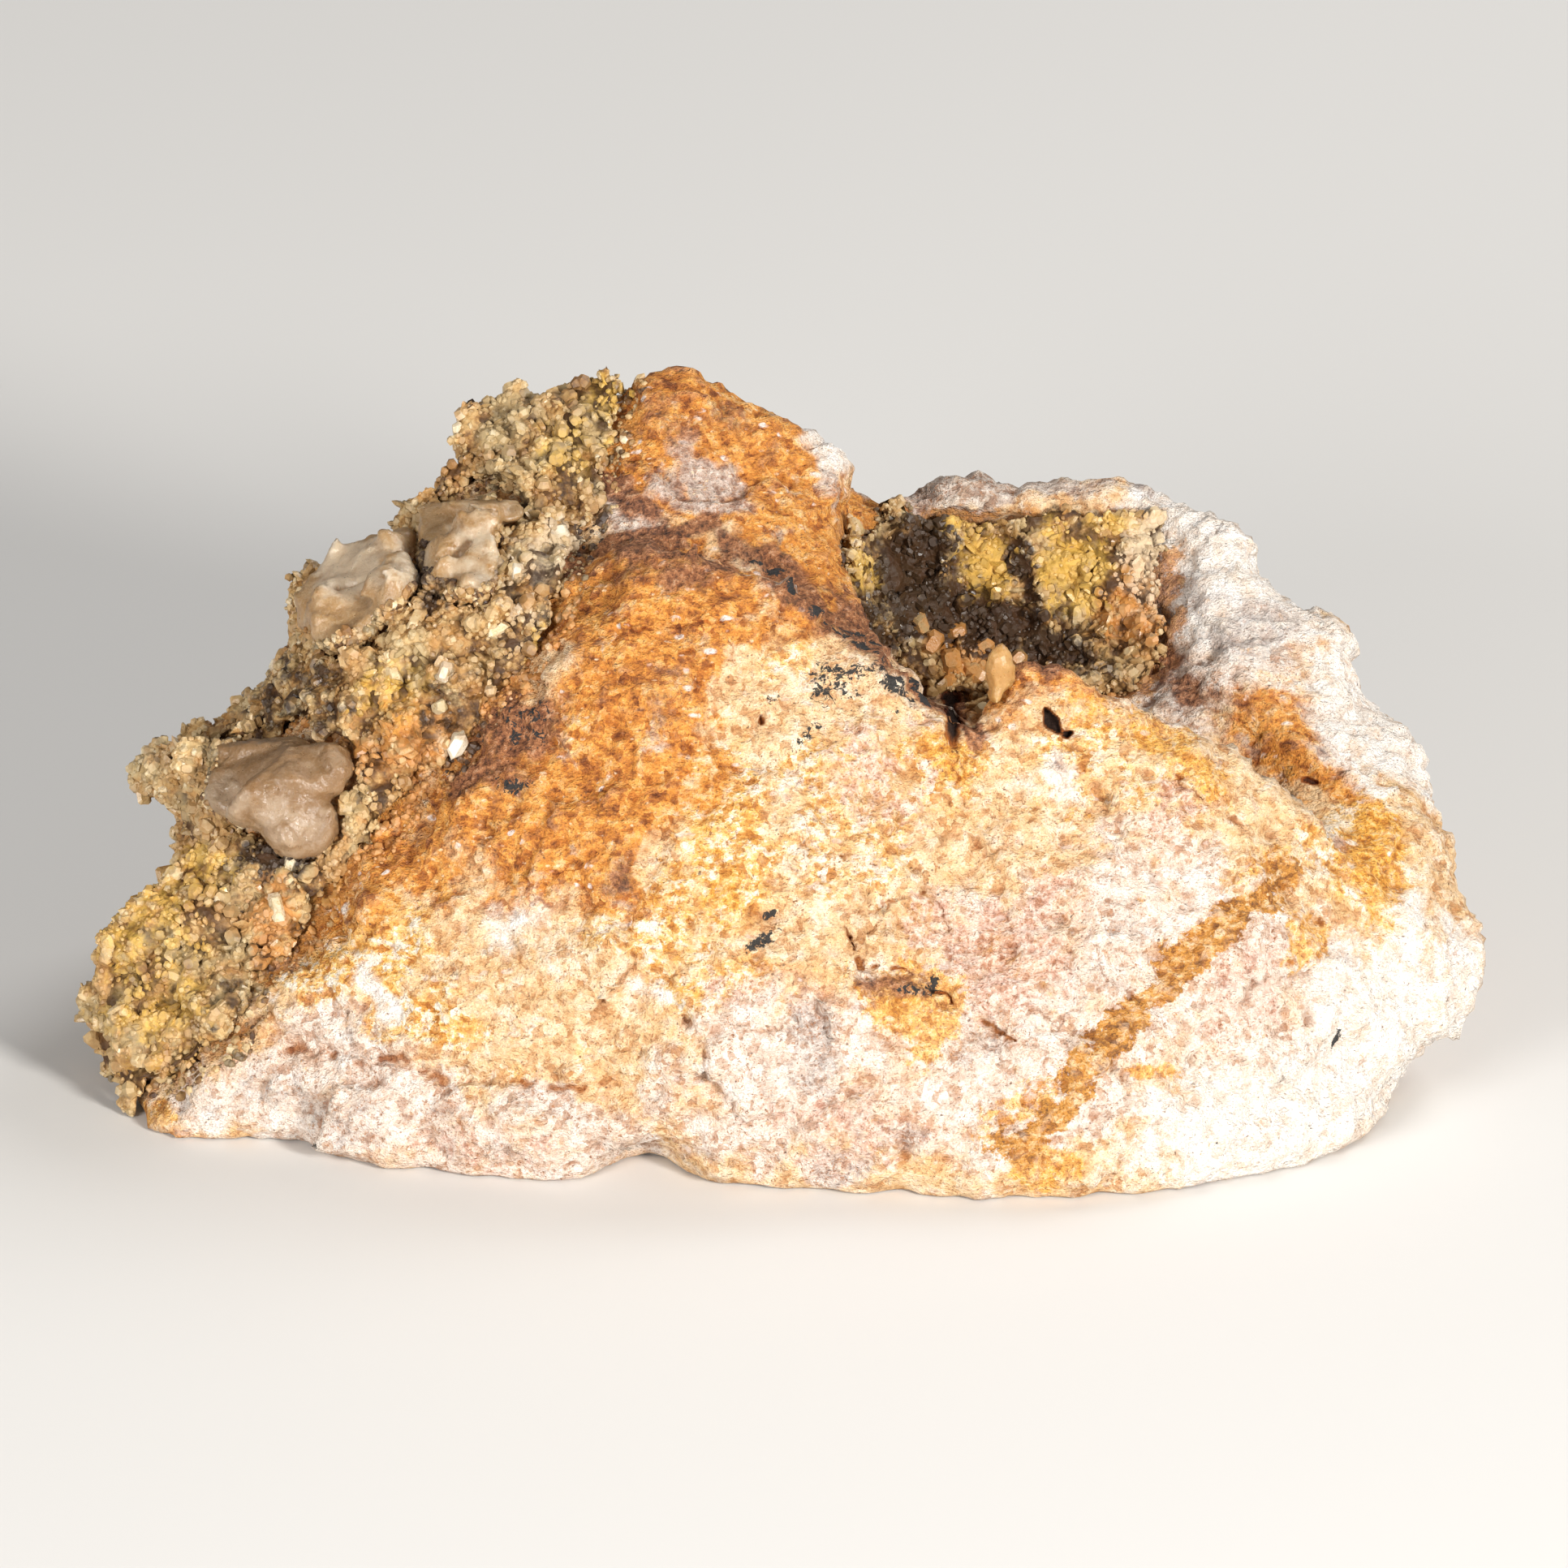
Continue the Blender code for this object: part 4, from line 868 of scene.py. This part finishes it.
VUG_SPOTS = {
    "yellow": [(9, 39.2, 1.5, 0.9, 0, 1.2), (11.6, 36.4, 1.6, 2.2, 20, 1.3),
        (16.9, 36, 2.2, 2.3, 0, 1.3), (15.4, 38.8, 0.9, 0.7, 0, 0.9), (4.7, 36.2, 0.9, 1.9, 40, 0.9),
        (18.6, 39, 1.6, 1.2, 0, 0.7)],
    # brown: partly the crust's own dark brown, partly painted shadow of the hollow's depth
    "brown": [(7.4, 36.6, 2.2, 3.6, -20, 1.3), (13.8, 36, 0.8, 2.6, 15, 0.9),
        (12, 32.6, 7, 1.8, -15, 1.1), (3.5, 33.5, 4, 2, -40, 1), (8.5, 33.6, 4, 2, 0, 1.1)],
    "orange": [(20.4, 33.8, 2.4, 2.6, 0, 0.9), (12, 30.8, 5, 1.2, -20, 0.8)],
    "pale": [(8, 41, 5, 0.7, 0, 0.9), (19, 40.6, 4, 0.8, 0, 1), (3.5, 41.5, 2.2, 1.6, -40, 0.8),
        (21.8, 37, 2.4, 3.6, 0, 1.1)],
}


def tint(piece, spots, seed):
    points = coords(piece)
    bend = wander(points, (3.0, 0.9, seed), (1.0, 0.6, seed + 2))
    front = front_share(to_face_normals(piece))
    for name, ovals in spots.items():
        share = patches(to_face(points), ovals, bend)
        # Brown on the sides turned from the front is painted shade.
        store(piece, name, share if name != "brown" else np.maximum(share, HIDDEN_SIDE_SHADE * (1 - front)))


def outer_samples(crust, core, count, seed):
    """Random points on the outer side of a crust, its normals there, and how far it stands proud."""
    points, directions, corners = surface_samples(crust, count * 2, seed)
    keep = outer_side(points, directions, core)
    proud = read(crust, "proud")[corners]
    return points[keep][:count], directions[keep][:count], proud[keep][:count]


def build_skin(node, swells, spots, seed):
    """The crust's ground: rounded lumps of two sizes, that the grains sit on."""
    skin = fine_copy(node, f"{node}_skin", CRUST_VOXEL, 3)
    swell(skin, swells)
    points = coords(skin)
    bulge = sum(height * (end - cells(points, size, seed + step)[0])
                for height, end, size, step in KNOBS) - SKIN_SINK
    height, size, step = SKIN_ROUGH
    bulge += height * lumps(points, size, seed + step, 2)
    move(skin, normals(skin) * (bulge * smoothstep(points[:, 2] / MM, *SKIN_BAND))[:, None])
    store(skin, "proud", proudness(skin, SKIN_ROUNDS))
    shade(skin, True)
    tint(skin, spots, seed + 5)
    return skin


def drawn(rng, count, least, spread, bias=1.0):
    """Random values from least to least + spread; a bias over 1 makes the small ones commoner."""
    return least + spread * rng.random(count) ** bias


def build_grains(name, crust, core, spots, seed, job):
    """Grains grown over a crust. job: shape, count, smallest and largest width in mm, how deep each
    sits in its own widths, its thickness in widths, and how far it leans."""
    shape, count, smallest, largest, depth, thickness, lean = job
    rng = np.random.default_rng(seed)
    points, directions, proud = outer_samples(crust, core, int(count / COARSE), seed)
    share = HOLLOW_SHARE + (1.0 - HOLLOW_SHARE) * smoothstep(proud, -0.25, 0.1)
    chosen = rng.random(len(points)) < share
    points, directions, proud = points[chosen], directions[chosen], proud[chosen]
    count = len(points)
    scale = drawn(rng, count, smallest, largest - smallest, SMALL_BIAS)
    sizes = np.stack([scale, scale * drawn(rng, count, *STRETCH), scale * thickness], 1)
    third = directions
    if thickness < FLAT:
        third = np.cross(directions, rng.standard_normal(directions.shape))
    turns = spins(third, lean, rng)
    # Grains paler on the knobs and darker between them: painted light and shade.
    tone = drawn(rng, count, *GRAIN_TONE) + KNOB_LIGHT_AND_SHADE * smoothstep(proud, -0.3, 0.35)
    places = points - directions * (scale * depth * MM)[:, None]
    piece = grow(name, shape, places, turns, sizes * 0.5, tone, False)
    tint(piece, spots, seed + 9)
    return piece


def build_contact(name, ground, crusts, spots, seed, count, reach):
    """Small grains on a ground along the edge of a crust, fewer the further from it."""
    rng = np.random.default_rng(seed)
    points, directions, _ = surface_samples(ground, int(count / COARSE), seed)
    gap = distances(points, crusts)
    chosen = (rng.random(len(points)) < EDGE_SHARE - gap / reach) & (points[:, 2] > LOOSE_FOOT * MM)
    points, directions = points[chosen], directions[chosen]
    count = len(points)
    scale = drawn(rng, count, *LOOSE_SIZE)
    sizes = np.stack([scale, scale * drawn(rng, count, *STRETCH), scale * LOOSE_THICKNESS], 1)
    tone = drawn(rng, count, *LOOSE_TONE)
    turns = spins(directions, LOOSE_LEAN, rng)
    piece = grow(name, grain_shape(1, 1), points, turns, sizes * 0.5, tone, False)
    tint(piece, spots, seed)
    return piece


def seat(tree, across, up):
    """Where a line of sight from the front meets a surface, and the surface's direction there,
    turned halfway to the viewer."""
    start = Vector(from_face([(across, up, SIGHT_START)])[0])
    place, direction, _, _ = tree.ray_cast(start, Vector(FACE_AXES[2]))
    return place, direction and direction - Vector(FACE_AXES[2]) * TO_VIEWER


def lying(direction, turn):
    """A turn whose third axis is a surface's direction and whose first runs at an angle across the face."""
    third = np.array(direction.normalized())
    angle = math.radians(turn)
    first = math.cos(angle) * FACE_AXES[0] + math.sin(angle) * FACE_AXES[1]
    first = first - third * (first @ third)
    first /= np.linalg.norm(first)
    return np.stack([first, np.cross(third, first), third], 1)


def place_crystals(name, shape, tree, crystals, smooth, together=0.0):
    """Single crystals seen on the front: (across, up, length, width, thickness, turn, tone). Together
    is how far their directions are drawn to the shared one, from 0 to 1."""
    places, turns, sizes, tones = [], [], [], []
    seen = [seat(tree, c[0], c[1])[1] for c in crystals]
    shared = sum((d for d in seen if d), Vector()).normalized()
    for across, up, length, width, thickness, turn, tone in crystals:
        place, direction = seat(tree, across, up)
        if place is None:
            continue
        places.append(np.array(place))
        turns.append(lying(direction.normalized().lerp(shared, together), turn))
        sizes.append((length / 2.0, width / 2.0, thickness / 2.0))
        tones.append(tone)
    return grow(name, shape, np.array(places), np.array(turns), np.array(sizes), tones, smooth)


DRUSE_TONES = [(0.08, (0.07, 0.028, 0.009)), (0.26, (0.27, 0.135, 0.040)), (0.44, (0.46, 0.275, 0.105)),
               (0.64, (0.60, 0.41, 0.19)), (0.82, (0.72, 0.56, 0.33)), (1.0, (0.88, 0.79, 0.62))]
DRUSE_GAP_SHADE = (0.07, 0.03, 0.010)  # painted shade between the lumps of the crust's ground
# Olive and honey drifts: size in mm, where the noise begins and ends them, colour.
DRUSE_DRIFTS = ((3.4, 0.46, 0.60, (0.46, 0.37, 0.20)), (2.3, 0.50, 0.62, (0.46, 0.22, 0.06)))
# The spots' colours, and how strongly each covers. Brown is partly the crusts' own dark brown, partly
# painted shade in the hollow and on the hidden sides.
DRUSE_TINTS = {"yellow": (0.6, (0.78, 0.49, 0.085)), "orange": (0.6, (0.62, 0.24, 0.045)),
               "pale": (0.6, (0.74, 0.60, 0.42)), "brown": (0.95, (0.035, 0.014, 0.005))}


def colour_druse(look, value):
    """The crusts' tones from dark to pale, with their drifts and the spots' colours."""
    look.colour = look.ramp(value, DRUSE_TONES)
    for size, low, high, tone in DRUSE_DRIFTS:
        look.lay(look.step(look.noise(size, 4.0), low, high) * 0.5, tone)
    breakup = look.noise(1.1, 5.0, 0.62)
    for name, (most, tone) in DRUSE_TINTS.items():
        look.lay(look.edge(look.attribute(name), breakup, 0.3) * most, tone)


def crust_finish():
    look = Finish("druse_crust")
    middle, fine = look.noise(1.3, 5.0, 0.65, 0.5), look.noise(0.3, 4.0, 0.65)
    stand = look.attribute("proud")
    # Paler where the ground stands proud, as painted light; nearly black between the lumps, as painted
    # shade.
    colour_druse(look, (middle - 0.5) * 1.4 + 0.30 + (fine - 0.5) * 0.8 + stand * 0.7)
    look.lay(look.step(stand, 0.0, -0.25) * 0.85, DRUSE_GAP_SHADE)
    normal = look.bump(fine, 0.5, 0.15, look.bump(look.cells(0.35), 0.7, 0.15))
    return look.finish(fine * 0.5 + 0.3, normal, Specular_IOR_Level=0.3)


def crystal_finish(name, gloss):
    look = Finish(name)
    middle, fine = look.noise(1.6, 3.0, 0.6), look.noise(0.25, 4.0, 0.65)
    colour_druse(look, look.attribute("tone") + (middle - 0.5) * 0.5 + (fine - 0.5) * 0.6)
    normal = look.bump(look.noise(0.2, 4.0, 0.65), 0.4, 0.08)
    return look.finish(fine * 0.5 + gloss, normal, Transmission_Weight=0.15, IOR=1.6)


# ---- milky clusters and the amber crystal

# Lobes of a cluster: across, up, length, width, thickness in mm, turn in degrees, tone.
PETALS = {
    "pale_cluster_upper": [(-18, 36.2, 5, 1.3, 0.7, 66, 0.5), (-17, 36, 4.8, 1.4, 0.8, 86, 0.5),
        (-16.1, 37.2, 3.4, 1.1, 0.6, 106, 0.5), (-18.8, 37.6, 3.4, 1.1, 0.6, 46, 0.5),
        (-17.3, 38.6, 2.6, 1.8, 0.9, 40, 0.5)],
    "pale_cluster_left": [(-25.2, 35.9, 2.2, 1.4, 0.5, 30, 0.5), (-24, 36.6, 2, 1.3, 0.5, 80, 0.5),
        (-23.2, 35.4, 2.6, 1.7, 0.6, 60, 0.5)],
}
FLAT_TOPS = {"pale_ledge": 26.0, "pale_cluster_upper": 39.6}  # mm up the face where a top is cut down flat
TOP_SHARE = 0.2  # how much is left of what stands above that
# A cluster's relief: height and size in mm.
CLUSTER_SWELLING, CLUSTER_COLUMNS = (0.25, 2.0), (0.4, 1.5)
CLUSTER_CHIPS = ((0.13, 1.1), (0.07, 0.45))
COLUMN_STRETCH = (1.0, 0.25, 0.6)  # across, up and back: the columns run up
BODY_ROUNDS, LOBE_ROUNDS, SEAM_ROUNDS = 10, 4, 14  # rounds of smoothing
SEAM_DEPTH = 0.15  # mm: where a seam's painted shade is full
PETAL_ORDER = 0.7  # how far the lobes' directions are drawn together
FROST_BEND = (2.0, 0.5)  # size and amount in mm
# Where a cluster is clouded white: across, up, half width, half height in mm, turn, strength.
FROST = [(-25, 36.4, 2.6, 1.8, -20, 1), (-17.6, 37.2, 1.6, 3, 10, 0.55), (-21.4, 36, 1.2, 1.6, 0, 0.7),
         (-32, 23, 1.8, 2.2, 30, 0.8), (-28, 21.6, 2.4, 1.6, 0, 0.7), (-26, 25.4, 1.6, 1.2, 0, 0.4)]


def flattened(piece, ground, share):
    """Lowers what stands out of the ground to a share of its height."""
    points = coords(piece)
    for i, point in enumerate(points):
        place, direction, _, _ = ground.find_nearest(Vector(point))
        out = Vector(point) - place
        if out.dot(direction) > 0.0:
            points[i] = place + out * share
    move(piece, (points - coords(piece)) / MM)


def build_cluster(node, ground, share, seed):
    """A cluster's body, lowered to a share of its height over the crust, with flat lobes grown over it."""
    body = fine_copy(node, f"{node}_body", CLUSTER_VOXEL, 4)
    flattened(body, ground, share)
    face = to_face(coords(body))
    if node in FLAT_TOPS:
        face[:, 1] -= (1.0 - TOP_SHARE) * np.clip(face[:, 1] - FLAT_TOPS[node], 0.0, None)
    move(body, (from_face(face) - coords(body)) / MM)
    with_modifiers(body, smoothed(BODY_ROUNDS))
    points = coords(body)
    height, size = CLUSTER_SWELLING
    swelling = height * lumps(points, size, seed, 2)
    height, size = CLUSTER_COLUMNS
    swelling += height * lumps(to_face(points) * COLUMN_STRETCH * MM, size, seed + 3, 2)
    move(body, normals(body) * (swelling * share)[:, None])
    parts = [body]
    if node in PETALS:
        shape, tree = grain_shape(3, 3), tree_of(body)
        parts.append(place_crystals(f"{node}_petals", shape, tree, PETALS[node], True, PETAL_ORDER))
    cluster = joined(f"{node}_lobes", parts)
    with_modifiers(cluster, remeshed(CLUSTER_VOXEL), smoothed(LOBE_ROUNDS))
    points = coords(cluster)
    facets = sum(height * chips(points, size, seed) for height, size in CLUSTER_CHIPS)
    move(cluster, normals(cluster) * facets[:, None])
    # seam: how far the surface sinks between the lobes, for painted shade
    store(cluster, "seam", smoothstep(-proudness(cluster, SEAM_ROUNDS), 0.0, SEAM_DEPTH))
    store(cluster, "frost", patches(to_face(points), FROST, wander(points, (*FROST_BEND, seed))))
    shade(cluster, True)
    return cluster


def cluster_finish(name, white, pale, deep, density):
    look = Finish(name)
    middle, fine = look.noise(1.5, 4.0, 0.6, 0.5), look.noise(0.35, 3.0, 0.6)
    sugar = look.noise(0.16, 3.0, 0.6)
    look.colour = look.ramp(middle, [(0.32, deep), (0.66, pale)])
    look.lay(look.edge(look.attribute("frost"), middle, 0.4) * 0.75, white)
    # Painted shade in the seams between the lobes.
    look.lay(look.attribute("seam") * 0.5, deep)
    look.lay(look.step(sugar, 0.50, 0.64) * 0.25, white)
    normal = look.bump(sugar, 0.4, 0.06, look.bump(fine, 0.6, 0.14))
    look.absorb(deep, density)
    return look.finish(fine * 0.38 + 0.15, normal, Transmission_Weight=0.45, IOR=1.5,
                       Subsurface_Weight=0.4, Subsurface_Scale=1.2 * MM,
                       Subsurface_Radius=(1.0, 0.85, 0.7))


# ---- studio

FRAME_PIXELS = 1932
PIXELS_PER_MM = 21.7
FRAME_CENTRE = (0.0, 23.82, 0.0)  # mm on the front face
CAMERA_DISTANCE = 2.5  # metres
SENSOR = 36.0  # mm
CAMERA_REACH = 50.0  # metres
LIT_PLACE = (0.0, 0.0, 0.015)  # metres: where the lights point
LIGHTS = (  # name, place and size in metres, watts, colour
    ("key", (0.32, -0.46, 0.24), 0.12, 4.4, (1.0, 0.97, 0.93)),
    ("fill", (-0.34, -0.46, 0.18), 0.26, 2.9, (1.0, 0.98, 0.96)),
    ("back", (0.30, 0.26, 0.42), 0.25, 1.4, (1.0, 1.0, 1.0)),
)
SKY_COLOUR, SKY_STRENGTH = (1.0, 0.98, 0.96, 1.0), 0.20
FLOOR_HALF, FLOOR_GAP = 1.5, 0.0001  # metres: half its side, and how far it lies under the part
FLOOR_COLOUR, FLOOR_ROUGHNESS = (0.72, 0.71, 0.69), 0.8


def aim(thing, place, target):
    thing.location = place
    thing.rotation_mode = "QUATERNION"
    thing.rotation_quaternion = (Vector(target) - Vector(place)).to_track_quat("-Z", "Y")


def make_camera():
    centre = Vector(from_face([FRAME_CENTRE])[0])
    data = bpy.data.cameras.new("camera")
    data.sensor_width = SENSOR
    data.lens = SENSOR * CAMERA_DISTANCE / (FRAME_PIXELS / PIXELS_PER_MM * MM)
    data.clip_end = CAMERA_REACH
    camera = new_piece("camera", data)
    aim(camera, centre - Vector(FACE_AXES[2]) * CAMERA_DISTANCE, centre)
    bpy.context.scene.camera = camera


def area_light(name, place, size, power, colour):
    data = bpy.data.lights.new(name, "AREA")
    data.size = size
    data.energy = power
    data.color = colour
    aim(new_piece(name, data), place, LIT_PLACE)


def make_studio():
    half = FLOOR_HALF
    corners = [(-half, -half, 0), (half, -half, 0), (half, half, 0), (-half, half, 0)]
    mesh = bpy.data.meshes.new("floor")
    mesh.from_pydata(corners, [], [(0, 1, 2, 3)])
    floor = new_piece("floor", mesh)
    floor.location.z = -FLOOR_GAP
    look = Finish("pale_floor")
    look.feed(look.shader.inputs["Base Color"], FLOOR_COLOUR)
    look.feed(look.shader.inputs["Roughness"], FLOOR_ROUGHNESS)
    floor.data.materials.append(look.material)
    for light in LIGHTS:
        area_light(*light)
    world = bpy.data.worlds.new("studio")
    bpy.context.scene.world = world
    world.use_nodes = True
    background = world.node_tree.nodes["Background"]
    background.inputs["Color"].default_value = SKY_COLOUR
    background.inputs["Strength"].default_value = SKY_STRENGTH


# ---- the specimen

BLOCK, BALL, TABLET = tablet_shape(0.45, 0.6), grain_shape(2, 1), tablet_shape()
# Crusts: swells of the outline, colour spots, seed, and the jobs of build_grains.
CRUSTS = {
    "flank_druse": (FLANK_SWELLS, FLANK_SPOTS, 51,
                    ((BLOCK, 2500, 0.4, 1.0, 0.2, 0.8, 0.7), (BALL, 9500, 0.3, 0.6, 0.1, 0.8, 0.6),
                     (TABLET, 1100, 0.4, 1.0, -0.1, 0.36, 0.35))),
    "vug_druse": ([], VUG_SPOTS, 71,
                  ((BLOCK, 700, 0.4, 0.9, 0.2, 0.8, 0.7), (BALL, 2600, 0.25, 0.6, 0.1, 0.8, 0.6),
                   (TABLET, 500, 0.4, 1.0, 0.0, 0.36, 0.35))),
}
CONTACT_GRAINS, COLLAR_GRAINS = 52000, 5000  # places tried on the rock, and on a cluster
GRAIN_GLOSS, CRYSTAL_GLOSS = 0.28, 0.06  # least roughness
NOTCH_ORANGE = (10, 31, 6, 6, 0, 0.7)
RIM_CONTACT = 0.8  # how much less the crust stains the hollow's rim
CONTACT_FADE = (0.2, 1.3)  # where the stain fades out: from, in mm, to, in reaches
# Clear looks: white, pale and deep colour, and how strongly the deep one absorbs.
CLEAR_LOOKS = {
    "milky_crystal": ((0.91, 0.76, 0.57), (0.69, 0.455, 0.235), (0.50, 0.285, 0.11), 12.0),
    "smoky_crystal": ((0.62, 0.465, 0.315), (0.46, 0.29, 0.155), (0.34, 0.19, 0.08), 15.0),
    "amber_crystal": ((0.84, 0.54, 0.22), (0.80, 0.50, 0.20), (0.56, 0.29, 0.08), 80.0),
}
# Clusters: seed, share of the height kept over the crust, look, slot.
CLUSTERS = {
    "pale_cluster_left": (81, 0.5, "milky_crystal", "pale_crystal"),
    "pale_cluster_upper": (82, 0.3, "milky_crystal", "pale_crystal"),
    "pale_ledge": (83, 0.4, "smoky_crystal", "grey_crystal"),
    "cleft_crystal": (84, 1.0, "amber_crystal", "amber_crystal"),
}


def dress(piece, material, node):
    """Puts a finished piece in place of its CAD node, with nothing below the floor."""
    places = coords(piece)
    places[:, 2] = np.maximum(places[:, 2], 0.0)
    piece.data.vertices.foreach_set("co", places.ravel())
    piece.data.update()
    piece.data.materials.clear()
    piece.data.materials.append(material)
    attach(piece, "root")
    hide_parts(node)


def make_crusts(core, crust_look, grain_look, crystal_look):
    """Both crusts, and search trees over their grounds."""
    skins = []
    for node, (swells, spots, seed, jobs) in CRUSTS.items():
        skin = build_skin(node, swells, spots, seed)
        skins.append(tree_of(skin))
        dress(skin, crust_look, node)
        for i, job in enumerate(jobs):
            piece = build_grains(f"{node}_grains_{i + 1}", skin, core, spots, seed + 10 * i, job)
            dress(piece, crystal_look if job[0] is TABLET else grain_look, node)
    single = place_crystals("flank_druse_crystals", TABLET, skins[0], SINGLE_CRYSTALS, False)
    tint(single, {name: [] for name in FLANK_SPOTS}, 3)
    dress(single, crystal_look, "flank_druse")
    notch = place_crystals("vug_druse_lumps", tablet_shape(0.4, 0.6), skins[1], NOTCH_LUMPS, False)
    tint(notch, {"yellow": [], "brown": [], "orange": [NOTCH_ORANGE], "pale": []}, 5)
    dress(notch, crystal_look, "vug_druse")
    return skins


def contact_share(rock, skins):
    """How strongly the crusts stain the rock beside them, less on the hollow's rim."""
    points = coords(rock)
    face = to_face(points)
    start, end = CONTACT_FADE
    near = 1.0 - smoothstep(distances(points, skins), start, CONTACT_REACH * end)
    rim = smoothstep(face[:, 0], *RIM_START) * smoothstep(face[:, 1], *RIM_FOOT)
    return near * (1.0 - RIM_CONTACT * rim)


def make_clusters(skins, grain_look):
    looks = {name: cluster_finish(name, *values) for name, values in CLEAR_LOOKS.items()}
    for node, (seed, share, look, slot) in CLUSTERS.items():
        cluster = build_cluster(node, skins[0], share, seed)
        dress(cluster, looks[look], node)
        if slot != "amber_crystal":
            collar = build_contact(f"{node}_collar", cluster, skins, FLANK_SPOTS, seed + 9,
                                   COLLAR_GRAINS, COLLAR_REACH)
            dress(collar, grain_look, node)


def main():
    noise.seed_set(NOISE_SEED)
    bpy.context.scene.view_settings.view_transform = "Standard"
    rock = build_rock()
    crust_look = crust_finish()
    grain_look = crystal_finish("druse_grains", GRAIN_GLOSS)
    crystal_look = crystal_finish("druse_crystals", CRYSTAL_GLOSS)
    skins = make_crusts(tree_of(rock), crust_look, grain_look, crystal_look)
    contact = build_contact("matrix_grains", rock, skins, CONTACT_SPOTS, 91, CONTACT_GRAINS, CONTACT_REACH)
    dress(contact, grain_look, "matrix")
    store(rock, "contact", contact_share(rock, skins))
    dress(rock, rock_finish(), "matrix")
    make_clusters(skins, grain_look)
    make_studio()
    make_camera()


main()
